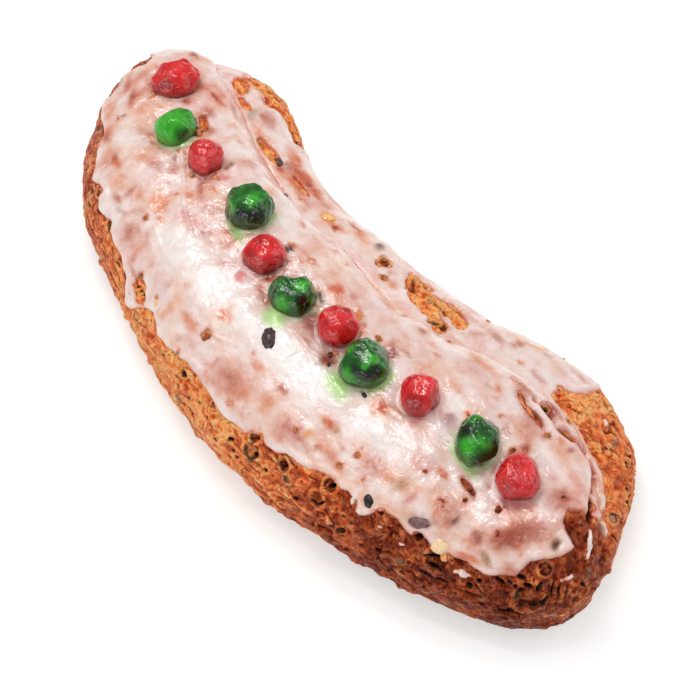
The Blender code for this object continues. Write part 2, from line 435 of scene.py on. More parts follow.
# raisin sockets: x, y, z, across, height of the rim, depth of the hole
CRATERS = [
    (-109.6, -45, 34.5, 4, 0.8, 1.0), (31.2, -65.3, 33, 8.5, 1.0, 1.0), (29.3, -61.2, 38, 6, 0.7, 0.6),
    (45.8, -59.3, 36.2, 6.5, 0.9, 1.4), (50.1, -61.5, 33, 4.8, 0.8, 0.9), (65.5, -50.7, 39.3, 7, 1.0, 1.6),
    (64.5, -57.1, 33.7, 7.5, 1.0, 1.4), (79.3, -56, 27.7, 4, 0.7, 1.2), (5.8, -66.1, 35.5, 3.4, 0.6, 0.6),
    (104, -36.4, 37.7, 4.4, 0.8, 1.4), (114.4, -35.2, 34, 10, 0.8, 1.2), (147.6, -16.4, 31.1, 13, 1.3, 1.6),
    (144.6, -6, 38.6, 6, 1.0, 0.6), (141.1, -27.8, 23.2, 3.2, 0.6, 0.4), (-10, 34.7, 26.8, 6, 0.8, 1.4),
    (10.2, 41.5, 24.9, 5, 0.8, 1.0), (32, 33.5, 28, 4.5, 0.8, 1.4), (-90.5, 27.5, 30.7, 2.4, 0.8, 0.4),
    (140, 35, 24.2, 5, 0.6, 0.5), (87.5, -42.4, 40.6, 3.5, 0.7, 0.8), (-52.4, -64.3, 27.8, 5.5, 0.6, 0.0),
]
# holes and cracks: x, y, z, length, width, turn, depth
HOLES = [
    (-115.5, -45.5, 31, 4.6, 2.8, -20, 2.2), (-112.2, -49.5, 28, 3.6, 2.2, -20, 2.0), (-93, -51, 34.5, 6, 1.8, -45, 2.0),
    (-77, -58, 31, 4.6, 1.5, 10, 1.8), (-149.6, -7.6, 34.8, 3.6, 1.2, -40, 1.0), (-60, -58.2, 34.8, 3.2, 1, 60, 1.2),
    (-57.5, -58.6, 34.8, 3.2, 1, 60, 1.2), (-55, -58.4, 35.4, 2.6, 1.6, 60, 1.6), (-46.6, -51.3, 43.6, 1.8, 1.2, 0, 1.2),
    (-13.6, -66.5, 34.6, 3.6, 3.2, 0, 1.4), (-14.9, -70, 27.5, 2.6, 2.2, 0, 1.6), (-5, -71.7, 22, 2.2, 1.6, 0, 1.2),
    (-1, -69, 30.7, 2.0, 1.6, 0, 1.0), (5.5, -70, 29, 3, 1.6, 60, 1.6), (20.7, -68.4, 30.6, 4, 2, 70, 1.4),
    (23.8, -69.6, 27, 2.2, 2.2, 0, 1.2), (26.3, -69.8, 25, 2, 2, 0, 1.0), (33.6, -65, 32.8, 3.4, 2.4, 60, 2.2),
    (40.4, -65, 30, 2.4, 1.6, 0, 1.2), (46.5, -59, 36, 4.5, 1.4, 70, 1.4), (44.8, -59.4, 36.6, 3, 1.2, 20, 1.2),
    (66, -50.5, 39.3, 4.4, 2.2, 70, 1.8), (67.2, -56.8, 33.4, 5, 1.4, 85, 1.8), (64.5, -59.2, 32, 4, 1.2, 0, 1.4),
    (77.3, -53.6, 33.6, 2, 1.4, 0, 1.0), (79.3, -56, 27.7, 2, 1.6, 0, 1.2), (95, -49.7, 27.4, 3, 3, 0, 2.2),
    (104, -36, 38, 3.6, 1.6, 30, 1.6), (112.5, -36.5, 34.5, 8, 1.4, 45, 1.4), (116, -37, 31.5, 8, 1.6, 10, 1.4),
    (115, -40.3, 27.3, 9, 2, 0, 1.2), (120, -37.5, 27.3, 6, 1.6, 15, 1.0), (129.7, -31.4, 29.8, 3, 2.2, 0, 1.4),
    (131.3, -27.9, 32.7, 2.4, 2.6, 0, 1.4), (136.8, -22, 35.2, 4.8, 1.8, 10, 1.4), (139.7, -19.4, 35.4, 2.8, 1.5, 0, 1.0),
    (141.2, -15.2, 37.1, 4.6, 2, 30, 1.4), (141.9, -18.4, 34.7, 2.2, 2.2, 0, 1.4), (144.4, -17.5, 33.6, 1.8, 2, 0, 2.2),
    (145, -14.5, 34.9, 4.4, 2.2, 20, 1.8), (147.9, -11.3, 34.4, 2.4, 5, 30, 1.8), (146, -23.6, 23.3, 12, 2, 10, 1.6),
    (151.9, -11.7, 30, 2, 6, 0, 1.4), (137.1, -30.6, 22.2, 5, 1.2, 0, 1.0), (151.5, -7.5, 33.4, 1.2, 8, 40, 1.2),
    (153.4, -5.5, 32.4, 1.2, 8, 40, 1.2), (155.2, -3, 31.6, 1.0, 7, 40, 1.0), (157.6, 3.7, 32.7, 2.8, 1.8, 0, 1.2),
    (158.6, 6.3, 30.6, 2, 2, 0, 1.2), (152.1, 9.1, 38.2, 1.5, 1.1, 0, 0.8), (142, 29.2, 24.4, 1.6, 1.6, 0, 1.0),
    (115, 52.7, 27.6, 1.8, 1, 0, 0.8), (121.9, 60, 21.1, 2.2, 3.4, 0, 1.0), (124.7, 55.7, 23.2, 3.6, 1.8, 0, 0.8),
    (133.1, 49.4, 21.9, 2, 2.6, 0, 1.0), (137.1, 46.6, 19.4, 2, 2.6, 0, 1.0), (-87, 45, 21.2, 4, 1.4, -20, 1.2),
    (27, 31.5, 28.6, 5, 1.9, 50, 2.2), (90.8, 38.5, 42.2, 4.6, 1.8, 15, 1.4), (-122, 35, 29.8, 1.4, 1.8, 0, 1.0),
    (137.6, 21.9, 40.5, 3.2, 2.4, 0, 1.8), (-28, -67.5, 31, 3, 1.6, 60, 1.2), (14, -69.5, 24, 2.6, 1.4, 10, 1.2),
    (56, -60, 26, 2.4, 1.8, 30, 1.2), (88, -52.5, 24, 3, 1.4, 10, 1.0), (106, -45, 22, 3, 1.2, 15, 1.0),
]
# lumps under the dough's skin: tone, x, y, z, length, width, turn, height
KNOBS = [
    ("orange", -80.4, -55.7, 32.6, 6, 5, 0, 1.4), ("rust", -70.2, -58.3, 32.3, 2.4, 6, 0, 1.0),
    ("gold", -89.4, -53.3, 32.7, 3, 4, 0, 0.6), ("orange", -52.4, -64.3, 27.8, 4.2, 4, 0, 1.2),
    ("orange", -16.6, -64.6, 36.9, 4.4, 3.4, 0, 1.0), ("mauve", -11.8, -71.6, 21.5, 5.5, 5, 0, 1.4),
    ("gold", -10.9, -72.1, 13.3, 5.5, 4.5, 0, 1.4), ("orange", 29.7, -70, 20.3, 7, 7, 0, 1.8),
    ("beige", 50.1, -61.5, 32.9, 3.2, 3, 0, 0.3), ("gold", 50.3, -64.3, 26, 8, 4, 20, 0.5),
    ("rust", 68.8, -60.9, 17.5, 5, 3, 0, 1.6), ("rust", 74.2, -59.3, 15.9, 4, 3, 0, 1.4),
    ("olive", 104, -45.7, 27.5, 4.6, 4, 0, 0.7), ("orange", 144.5, -19.5, 31.6, 5, 5, 0, 1.0),
    ("rust", 147.6, -16.4, 31.1, 6.5, 5.5, 30, 1.6), ("rust", 144.6, -6, 38.6, 4, 4.4, 0, 1.0),
    ("mauve", 155.6, 7.3, 35.1, 5, 6, 0, 1.4), ("orange", 141.1, -27.8, 23.2, 2.4, 2, 0, 0.6),
    ("orange", 107.7, 66.2, 21.1, 6, 5, 0, 1.0), ("gold", 31, -65.5, 32.5, 7, 5, 20, 0.2),
    ("rust", 37.6, 53.4, 22, 3.2, 2.6, 0, 1.5), ("rust", -87, 45, 21.2, 4, 2.8, -20, 1.0),
    ("olive", 129.3, 36.8, 27.9, 5, 3.6, 0, 1.2), ("mauve", 122.4, 38.2, 29.2, 3.6, 2.8, 0, 1.0),
    ("beige", 140, 35, 24.2, 4, 4, 0, 0.3), ("mauve", 114.8, 57.9, 25.3, 3, 7, 20, 0.4),
]
# the grooves inside the craters' rims and the holes are painted near black as well: painted shade
for x, y, z, across, height, depth in CRATERS:
    r = spot((x, y, z), across, across)
    relief += 1.25 * height * np.exp(-(((r - 1) / 0.28) ** 2)) - 1.3 * depth * np.exp(-((r / 0.55) ** 2))
    pit_shade = np.maximum(pit_shade, 0.9 * np.exp(-(((r - 0.72) / 0.18) ** 2)) * smoothstep(noise(skin, 4, 8), -0.3, 0.2))
for x, y, z, length, width, turn, depth in HOLES:
    r = spot((x, y, z), length, width, turn)
    relief -= depth * (1 - smoothstep(r, 0.4, 1.15))
    pit_shade = np.maximum(pit_shade, 1 - smoothstep(r, 0.65, 1.2))
knob_shares = []
for tone_name, x, y, z, length, width, turn, height in KNOBS:
    r = spot((x, y, z), length, width, turn)
    relief += height * (1 - smoothstep(r, 0.5, 1.3))
    knob_shares.append((tone_name, 1 - smoothstep(r, 0.7, 1.15)))

crease = line_distance(CREASE)
slit = line_distance(SLIT)
gaping = smoothstep(noise(skin, 9, 11), -0.8, 0.1)
relief -= 0.5 * np.exp(-((crease / 1.6) ** 2)) + 2.2 * gaping * np.exp(-((slit / 1.5) ** 2))
# the gap under the fold is painted near black: painted shadow
pit_shade = np.maximum(pit_shade, gaping * np.exp(-((slit / 1.1) ** 2)))
pit_shade *= smoothstep(skin[:, 2], 1.0, 3.0)
relief = (relief - 0.10) * smoothstep(skin[:, 2], 0.2, 5)
hollow = relief - softened(relief, 12)

# ---- the glaze's thickness --------------------------------------------------------------------------------
edge = line_distance(GLAZE_OUTLINE)
within = inside(GLAZE_OUTLINE) & (out[:, 2] > -0.15)
edge = np.where(within, edge, -edge)
limit = np.interp(skin[:, 0], BACK_LIMIT_X, BACK_LIMIT_Z) + 2.2 * noise(skin, 13, 20) + 1.0 * noise(skin, 6, 21)
behind = smoothstep(out[:, 1], 0.0, 0.25) * (crease > 6)
behind = np.maximum(behind, smoothstep(-out[:, 0], 0.3, 0.6) * (skin[:, 1] > 19))
edge = np.where(behind > 0.5, np.minimum(edge, (skin[:, 2] - limit) / 0.8), edge)
edge += 0.5 * noise(skin, 5, 22) + 0.25 * noise(skin, 2.4, 23)

# drops and runs of glaze outside its edge: x, y, z, length, width, turn
DRIPS = [
    (145.6, 16.3, 39.7, 8.4, 1.7, -45), (141, 27.5, 25.5, 6.4, 3.8, -37), (101, -42.9, 34, 4.4, 1.5, 30),
    (90.7, -45.6, 37.1, 3.6, 1.3, 20), (75.8, -46.5, 40.0, 6.5, 2.2, -60), (80.5, -48.6, 37.6, 3.2, 1.8, 20),
    (149.5, 12.0, 37.5, 6.0, 1.6, -50), (124.5, -31.5, 32.5, 6.5, 2.6, 35), (152.5, -1.0, 36.2, 6.0, 2.2, 60),
    (105.1, 61, 25.6, 5.4, 2.0, -37),
]
drip = np.zeros(len(skin))
for x, y, z, length, width, turn in DRIPS:
    r = spot((x, y, z), length, width, turn) + 0.8 * noise(skin, 2.4, 27)
    drip = np.maximum(drip, 1 - smoothstep(r, 0.9, 1.4))
    edge = np.maximum(edge, (1 - r) * width / 2)

# bare places where the dough shows: x, y, length, width, turn
BARE = [
    (-57.5, -58.5, 11, 7, -37), (-121.5, 46.5, 14, 6, 0), (-122.5, 39.5, 11, 7, -20), (-107, 49, 15, 5, 5),
    (-112, 34.3, 9, 3, 0), (-84.5, 28, 17, 5, 0), (7.5, 38.5, 16, 9, -15), (17.5, 34.5, 20, 7, 0),
    (29.5, 42.5, 14, 7, -20), (21.5, 40.5, 14, 8, 0), (-11, 34.5, 5.5, 7.5, 0), (30.5, 32.5, 6, 7, 40),
    (-106, 8.5, 9, 4, -30), (-102.5, 3, 4, 4, 0), (92.5, 30.5, 13, 3, 0), (83.5, 31.5, 5, 2.5, -20),
    (103.5, -36.3, 4.5, 2.6, 20), (83.5, 54.5, 3, 2.5, 0), (-61.5, 18.9, 4, 2.2, 60), (90.5, 38.7, 5, 2.4, 15),
    (26.5, 31.5, 5, 2.4, 50), (-92.5, -50.5, 6, 2.4, -50), (-150.5, -12.5, 5, 2, -40), (-17.5, -52, 4, 4.5, 0),
    (109.5, -36.5, 6, 4, 10), (-64, 29, 12, 2.4, 0), (-34, 35.8, 8, 2, 0), (101.8, -10.4, 8, 2.4, 0),
    (-140, 36, 8, 4, -30), (-52, 38, 14, 2, 5),
]
# raised places in the glaze, such as syrup that has run out of a cherry: x, y, length, width, turn, height
SWELLS = [
    (-103.5, -5.5, 8, 9, 0, 1.0), (-45.5, -3.5, 6, 16, 0, 0.8), (-48.5, -13.5, 12, 5, -10, 0.9), (-3.5, -26.5, 10, 8, 0, 1.6),
    (36.5, -24.5, 16, 8, -10, 1.6), (45.5, -10.5, 6, 14, 0, 1.0), (91.5, -5.5, 16, 5, 0, 0.8), (-27.5, -25.5, 6, 5, -30, 1.2),
    (66.5, -6.5, 5, 14, 10, 0.9), (115.5, -0.5, 12, 6, 30, 0.9), (-17.5, -51.5, 5, 6, 0, 1.2), (75.5, 0.5, 6, 7, 0, 0.8),
    (100.5, -32.5, 11, 6, 35, 0.6), (-75, 28.5, 9, 9, 0, 0.9), (-42.5, 28.5, 7, 6, 0, 0.8), (-18.5, 37.5, 6, 6, 0, 0.7),
    (142.5, 26.5, 8, 4, -40, 1.0), (-152, -5.3, 6, 4, -20, -1.0),
]
# thin raised lines where the glaze has run: height, then places in plan
THREADS = [
    (0.5, [(-14, -49.7), (-11, -48.4), (-8.4, -46.8)]), (0.8, [(5.6, -25.3), (11, -24.8), (16.8, -24.8), (21, -23.6)]),
    (0.5, [(-14.9, -59), (-14, -56), (-12.5, -51.7)]), (0.4, [(-25.7, -45.7), (-23.2, -39.5)]),
    (0.6, [(-99, -7.6), (-85.2, -15.7), (-73.3, -24), (-60.3, -29.3)]), (0.4, [(-96.5, -45.6), (-86.3, -39.6), (-75.3, -36)]),
    (0.4, [(-73.9, -38.6), (-62.2, -42.8), (-53.9, -43.2)]), (0.6, [(56.5, -14.9), (63.1, -13.5)]),
    (0.8, [(68.8, -0.9), (76.7, -4.9), (82.9, -3.2), (85.3, -3.6)]), (0.7, [(-59, 20), (-56, 19), (-53.5, 16)]),
    (0.5, [(-100, 20), (-92, 12), (-84, 12)]), (0.5, [(116.5, -13.8), (117.2, -11)]),
]
thick = 1.45 + 0.35 * noise(skin, 21, 24) + 0.22 * noise(skin, 8, 25)
# thicker glaze on the front slope, which also whitens its colour there: partly painted highlight for the light's glare
thick += 0.8 * np.exp(-(spot((-22, -36), 80, 22) ** 2)) + 0.6 * np.exp(-(spot((22, -32), 50, 16, 8) ** 2))
ragged = 0.25 * noise(skin, 2.6, 26)
for x, y, length, width, turn in BARE:
    r = spot((x, y), length, width, turn) + ragged
    thick -= 3.0 * (1 - smoothstep(r, 0.75, 1.25))
swell = np.zeros(len(skin))
for x, y, length, width, turn, height in SWELLS:
    swell += height * np.exp(-(spot((x, y), length, width, turn) ** 2))

for height, line in THREADS:
    swell += height * np.exp(-((line_distance(line) / 0.75) ** 2))

# how near each point is to a cherry, and which colour
cherry_gap = np.full(len(skin), 99.0)
by_green = np.zeros(len(skin), bool)
for name in CHERRY_NODES:
    low, high = (np.array(corner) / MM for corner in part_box(name))
    near = np.flatnonzero(np.all((skin > low - 12) & (skin < high + 12), axis=1))
    for i in near:
        away = CHERRY_TREES[name].find_nearest(Vector(skin[i] * MM))[3] / MM
        if away < cherry_gap[i]:
            cherry_gap[i] = away
            by_green[i] = "green" in name
meniscus = 0.7 * np.exp(-((cherry_gap / 1.2) ** 2)) - 0.8 * np.exp(-((cherry_gap / 4.5) ** 2))

round_edge = np.sqrt(1 - (1 - np.clip(edge / 1.9, 0, 1)) ** 2)
bead = 0.45 * np.exp(-(((edge - 2.2) / 1.3) ** 2))
glaze_top = lumps - 0.10 + 0.25 * knots + thick * round_edge + bead + swell + meniscus * (edge > 0)
glaze_top -= 0.7 * np.exp(-((crease / 1.1) ** 2)) + 5.5 * gaping * np.exp(-((slit / 1.7) ** 2))
glaze_top = np.where(edge > 0, glaze_top, relief - 0.4 + 1.2 * edge)
depth = glaze_top - relief


# ---- colours ----------------------------------------------------------------------------------------------
def mixed(kinds, *shares):
    """Colours along a row of kinds, by shares from 0 to 1 that each lead to the next kind."""
    colour = np.tile(np.array(kinds[0], float), (len(skin), 1))
    for kind, share in zip(kinds[1:], shares, strict=True):
        colour = blend(colour, kind, share)
    return colour


def dough_tone(green):
    """Baked dough, from how much green light it returns: dark brown, through rust and orange, to gold."""
    green = np.asarray(green, float)
    return np.stack([np.minimum(2.2 * green**0.62, 0.96), green, 0.36 * green**1.13], axis=-1)


DOUGH = {
    "gold": (0.92, 0.40, 0.16),
    "orange": (0.78, 0.25, 0.07),
    "rust": (0.46, 0.11, 0.03),
    # the near-black of the painted shade in pits, holes, cracks and the gap under the fold
    "pit_shade": (0.012, 0.006, 0.004),
    "mauve": (0.26, 0.11, 0.085),
    "burnt": (0.10, 0.040, 0.030),
    "grey": (0.33, 0.27, 0.25),
    "olive": (0.26, 0.16, 0.06),
    "beige": (0.58, 0.40, 0.26),
}
# how light the crust is along the loaf, as the logarithm of its green share: x, then the front and the back
# the front's darker values towards the right end are partly the crust's own dark brown and partly painted shade, on the
# side that faces away from the light
CRUST_X = (-160, -110, -60, -30, 10, 50, 100, 140, 160)
CRUST_FRONT = (-2.25, -1.95, -1.15, -0.95, -1.25, -1.75, -2.95, -3.35, -2.7)
CRUST_BACK = (-1.7, -1.15, -1.1, -1.1, -1.1, -1.1, -1.2, -1.75, -2.0)

left_end = smoothstep(-skin[:, 0], 75, 135) * smoothstep(-skin[:, 1], -10, 20)
front = 1 - smoothstep(skin[:, 1], 8, 32)
# dusky: the front towards the right end, where the crust is made less red and its knobs darker: partly painted shade
dusky = smoothstep(skin[:, 0], 50, 120) * front
low_rim = 1 - smoothstep(skin[:, 2], 3, 12)
tone = np.interp(skin[:, 0], CRUST_X, CRUST_BACK)
tone += front * (np.interp(skin[:, 0], CRUST_X, CRUST_FRONT) - tone)
# darker in the hollows of the relief and lighter on its rises: painted shade; also darker towards the base
tone += 0.45 * np.clip(hollow / hollow.std(), -2.5, 2.0) - 0.4 * low_rim
tone += 0.80 * noise(skin, 13, 40) + 0.45 * noise(skin, 6, 41) + 0.60 * noise(skin * STRETCH, 3.2, 42)
crust_colour = dough_tone(np.exp(np.clip(tone, -5.5, -0.85)))
crust_colour *= 1 + left_end[:, None] * np.array([-0.15, 0.0, 0.5]) + dusky[:, None] * np.array([-0.12, 0.0, 0.0])
for tone_name, share in knob_shares:
    # knobs darker at the right front: partly painted shade
    knob = np.array(DOUGH[tone_name]) * (1 - 0.40 * dusky[:, None])
    crust_colour = blend(crust_colour, knob, 0.75 * share * smoothstep(tone, -4.0, -2.0))
crust_colour = blend(crust_colour, DOUGH["burnt"], 0.55 * blob_here * (1 - smoothstep(near_blob, 0.8, 2.4)))
# painted shade in the pits, holes, cracks and the gap under the fold
crust_colour = blend(crust_colour, DOUGH["pit_shade"], pit_shade)

GLAZE_WHITE = np.array([0.82, 0.77, 0.755])
# how strongly dough or fruit of each kind darkens the red, green and blue light that comes back through the glaze
SHADES = {
    "base": (0.24, 1.0, 1.24),
    "brown": (0.42, 1.0, 1.18),
    "orange": (0.19, 1.0, 1.48),
    "rose": (0.34, 1.0, 1.06),
    "dark": (0.80, 1.0, 1.15),
    "mauve": (0.66, 1.0, 0.95),
    "green": (0.66, 1.0, 1.54),
    "yellow": (0.02, 0.60, 1.60),
    "grey": (1.0, 0.95, 0.9),
}
# what shows through the glaze, and one painted shadow: kind, x, y, length, width, turn, depth of colour
STAINS = [
    ("dark", 24.3, -21.8, 6, 4.4, 40, 1.5), ("brown", 37.4, 1.4, 8, 4.4, -37, 1.6), ("dark", -27.3, -2.8, 3.6, 2.6, 20, 1.4),
    ("orange", -72, 33, 18, 6, -20, 1.2), ("brown", -100, 38, 10, 6, 0, 0.9), ("orange", -60, 33, 14, 4, -10, 1.0),
    ("orange", -95, 30, 12, 4, -10, 0.8),
    ("grey", -152.0, -5.3, 7, 4.5, -20, 1.2),
    ("brown", -138.5, -6.5, 7, 3, -40, 1.5), ("brown", -146.5, -3.5, 8, 2.5, -35, 0.9), ("green", -133.5, -14.5, 3, 1.4, 45, 0.7),
    ("orange", -150.5, -16.5, 8, 4, -30, 1.2), ("orange", -141.5, -16.5, 10, 5, -20, 0.7), ("brown", -128.5, -26.5, 5, 4, 20, 0.8),
    ("brown", -117.5, -30.5, 4, 3, 20, 1.2), ("orange", -113.5, -31.5, 6, 4, 10, 1.1), ("orange", -104.5, -36.5, 13, 8, 0, 0.5),
    ("brown", -99.5, -20.5, 8, 5, 0, 0.8), ("brown", -92.5, -18.5, 3, 1.5, 0, 0.8), ("rose", -93.5, -15.5, 8, 4, -20, 0.7),
    ("brown", -98.5, -41.5, 5, 3, 0, 1.2), ("brown", -91.5, -43.5, 7, 2, 15, 0.5), ("orange", -83.5, -30.5, 8, 8, 0, 0.9),
    ("brown", -80.5, -45.5, 8, 6, 0, 0.9), ("brown", -84.5, -38.5, 6, 4, 20, 0.5), ("rose", -78.5, -49.5, 14, 6, 0, 0.4),
    ("brown", -96.5, -36.5, 3, 6, 0, 0.6), ("dark", -97.5, -12, 3, 1.5, -40, 1.2), ("brown", -76.5, -13.5, 9, 2.5, -35, 1.6),
    ("orange", -75.5, -19.5, 9, 3.5, -20, 0.8), ("rose", -67.5, -17.5, 10, 5, 0, 0.6), ("rose", -62.5, -25.5, 16, 7, 5, 0.6),
    ("brown", -56.5, -24.5, 5, 1.6, 50, 1.2), ("brown", -44.5, -21.5, 7, 3.5, -45, 0.4), ("brown", -48.5, -18.5, 4, 1.5, -20, 0.6),
    ("brown", -24.5, -16.5, 10, 7, -10, 1.8), ("brown", -15.5, -24.5, 10, 3.5, -10, 1.6), ("rose", -37.5, -27.5, 8, 4, 20, 0.5),
    ("dark", -27.5, -3, 2.8, 2.5, 0, 3.0), ("orange", -28, -1, 4, 2.5, 0, 1.3), ("brown", -17.5, -8.5, 4, 4, 0, 0.5),
    ("brown", -70.5, -44.5, 9, 4, -40, 0.4), ("brown", -65.5, -55.5, 6, 2, -10, 0.8), ("brown", -17.5, -51.5, 4.5, 5, -20, 1.0),
    ("orange", -26.5, -53.5, 10, 4, 5, 0.8), ("orange", -18.5, -41.5, 7, 4, 10, 1.3), ("orange", -20.5, -37.5, 5, 3, 30, 0.3),
    ("dark", -47, -50.8, 2, 1.2, 0, 1.6), ("yellow", -46.5, -57.5, 1.5, 2.5, 0, 0.9), ("brown", -25.5, -60, 3, 1.2, 0, 0.7),
    ("grey", -48.5, -53.5, 10, 5, 0, 0.12), ("orange", 0.5, 0.5, 5, 6, 0, 1.5), ("brown", 6.5, 4.5, 3, 3, 0, 0.7),
    # the dark mark at (-0.5, -6), beside a green cherry, is painted shadow
    ("dark", -0.5, -6, 6, 2, -20, 2.5), ("brown", 6.5, -16.5, 11, 7, -20, 2.0), ("orange", 24.5, -21.5, 4, 5, 20, 1.8),
    ("dark", 23.5, -19.5, 3, 1.2, -30, 2.6), ("dark", 26.5, -22.5, 2.5, 1, -50, 1.5), ("brown", 22.5, -43, 7, 2.6, 3, 1.4),
    ("orange", 9.5, -44.5, 6, 3, 0, 0.8), ("brown", 13.5, -48, 3, 1.2, 0, 0.3), ("brown", 4.5, -55.5, 11, 7, 0, 0.8),
    ("orange", 11.5, -55.5, 13, 7, 15, 0.6), ("orange", 23.5, -51.5, 5, 10, 0, 0.5), ("rose", 36.5, -51.5, 11, 8, 0, 0.6),
    ("yellow", 44.5, -45.5, 2.5, 4, 0, 0.9), ("orange", 47, -37.5, 6, 3, 10, 1.6), ("green", 51, -37, 3, 3, 0, 1.1),
    ("brown", 50, -48, 1.6, 4, -20, 0.8), ("orange", 55.5, -44.5, 15, 5, -5, 0.55), ("brown", 42.5, -49.5, 9, 2, 0, 0.7),
    ("orange", 54.5, -17.5, 6, 6, -30, 1.8), ("brown", 63.5, -33.5, 1.6, 1.6, 0, 0.9), ("brown", 72.5, -34.5, 10, 8, 60, 0.8),
    ("orange", 78.5, -33.5, 5, 5, 0, 0.8), ("mauve", 75.5, 0.5, 4.5, 5.5, 0, 1.0), ("dark", 46, -19.5, 3.5, 1.5, 0, 1.8),
    ("brown", 37.5, 1.5, 4, 2, -35, 2.5), ("brown", 41.5, 5.5, 5, 2, 0, 0.8), ("brown", 35.5, 8.5, 8, 5, 0, 0.25),
    ("orange", 92, -15, 5, 2.8, 10, 1.6), ("rose", 85.5, -16.5, 10, 4, 0, 0.35), ("brown", 101.5, -10.5, 8, 2.8, -10, 2.0),
    ("brown", 107.5, -11.5, 6, 2.5, 0, 0.6), ("brown", 106.5, -22.5, 9, 9, 60, 0.8), ("dark", 109, -22.5, 1.6, 5, 0, 1.6),
    ("brown", 119.5, -19.5, 5, 4.5, 20, 1.8), ("brown", 130.1, -4.6, 20, 8, 62, 1.4), ("brown", 127.5, -13.5, 7, 9, -40, 1.1),
    ("dark", 140.4, 2.4, 2.5, 4.5, 20, 2.2), ("green", 127.5, -21.5, 4.5, 3, -20, 1.3),
    ("brown", 136.5, -17.5, 5, 7, -30, 0.9), ("green", 84.5, -30.5, 4.5, 7, 0, 0.75), ("rose", 91.5, -30.5, 2.5, 6, 0, 1.0),
    ("orange", 122.5, -26.5, 8, 3, 25, 1.4), ("mauve", 100.5, -32.5, 9, 4.5, 35, 0.8), ("brown", -142.5, 28.5, 6, 2.8, -25, 1.7),
    ("orange", -115.5, 22, 8, 2.8, 0, 1.1), ("brown", -116.5, 21.5, 5, 1.3, 0, 1.2), ("grey", -105.5, 33.5, 3, 6, 30, 0.6),
    ("brown", -107.5, 25.5, 12, 3, -33, 0.8), ("brown", -91.5, 28, 4, 2, -20, 1.2), ("orange", -85.5, 27.5, 11, 6, -20, 1.0),
    ("brown", -84.5, 21, 7, 2, -30, 0.15), ("orange", -77.5, 37.5, 6, 3, 0, 0.6), ("mauve", -75, 29.5, 6, 7, 0, 0.5),
    ("orange", -74.5, 25.5, 6, 2.8, 0, 1.3), ("orange", -64.5, 27, 13, 4.5, 0, 1.1), ("brown", -54.5, 25.5, 4, 1.6, 0, 0.8),
    ("orange", -65.5, 34.5, 8, 4, -25, 0.9), ("dark", -62.5, 32.5, 2, 1.6, 0, 1.4), ("orange", -55.5, 31.5, 4, 2, 0, 0.6),
    ("rose", -57.5, 30.5, 26, 12, 0, 0.35), ("yellow", -42.5, 28.5, 6.5, 6, 0, 0.9), ("orange", -35.5, 29, 7, 3, 20, 1.0),
    ("brown", -34, 35.5, 3.6, 1.6, -15, 1.2), ("brown", -44, 37.5, 3, 3.5, -20, 0.3), ("orange", -27.5, 34.5, 12, 6, -10, 0.7),
    ("dark", -18.5, 37.5, 4, 4.6, 30, 1.4), ("brown", -4.5, 32.5, 2, 3, 0, 0.5), ("rose", -17.5, 22.5, 14, 3, 5, 0.45),
    ("orange", 1.5, 29.5, 5, 3.5, 0, 1.2), ("orange", -4.5, 43.5, 12, 8, 20, 0.3), ("brown", 42.5, 43.5, 6, 2, 40, 0.7),
    ("brown", 48.5, 48.5, 8, 3, 10, 1.0), ("brown", 53.5, 47, 4, 1.2, -30, 0.6), ("brown", 55.5, 54.5, 2.8, 9, -15, 1.0),
    ("yellow", 62.5, 61.5, 6, 5, 0, 0.4), ("grey", 66.5, 61, 3, 2, 0, 0.6), ("brown", 77.5, 65.5, 3, 1.3, 0, 0.7),
    ("brown", 83.5, 66.5, 7, 2.8, 0, 0.9), ("orange", 83.5, 53.5, 4, 3, 0, 0.8), ("brown", 74.5, 49.5, 8, 3, 5, 0.7),
    ("brown", 35, 19, 5, 4, 0, 1.1), ("orange", 43.5, 17.5, 5, 2.2, 0, 0.7), ("orange", 15.5, 16, 15, 4, -10, 0.55),
    ("orange", 62.5, 29.5, 11, 4, 3, 0.8), ("rose", 62.5, 24.5, 14, 8, 0, 0.4), ("orange", 75.5, 26, 2.8, 2.8, 0, 1.2),
    ("grey", 72, 23.5, 2.5, 1.5, 0, 0.3), ("brown", 79.5, 35.5, 9, 4, 0, 0.9), ("brown", 83.5, 31.5, 7, 3.6, -10, 1.4),
    ("brown", 92.5, 30, 9, 4, 0, 2.0), ("dark", 92.5, 31.3, 5, 1.3, 0, 1.8), ("orange", 107.5, 32.5, 4, 3, 0, 0.9),
    ("brown", 112, 33, 2.2, 3.6, 0, 1.7), ("brown", 93.5, 40, 8, 4, -10, 2.0), ("brown", 91.5, 17, 6, 2.6, -30, 1.1),
    ("brown", 102, 18.5, 3, 3, 30, 2.2), ("brown", 96.5, 24.5, 11, 8, 0, 0.6), ("brown", 127.5, 15.5, 9, 9, 0, 1.2),
    ("brown", 56.5, 35.5, 9, 2, 25, 0.2), ("brown", 69.5, 40.5, 16, 2, 12, 0.3), ("orange", 27.5, 25.5, 8, 2, 0, 0.5),
    ("brown", -109, 14, 6, 4, 0, 1.0), ("brown", -101, 8, 5, 4, 0, 1.1), ("brown", -118, 2, 3, 8, 20, 0.5),
    ("brown", -135, 3, 4, 8, 40, 0.5), ("brown", -86, -22, 4, 9, 40, 0.5), ("brown", -88, -7, 3, 3, 0, 0.9),
    ("dark", -79, 3.5, 2, 4, 0, 1.2), ("rose", -76, 10, 9, 6, 0, 0.5), ("brown", -52, 17, 14, 1.6, 0, 0.5),
    ("brown", -119, -14, 6, 3, 30, 0.5), ("orange", -92, -34, 4, 5, 0, 0.6), ("brown", 116, -5, 4, 8, 30, 0.5),
]
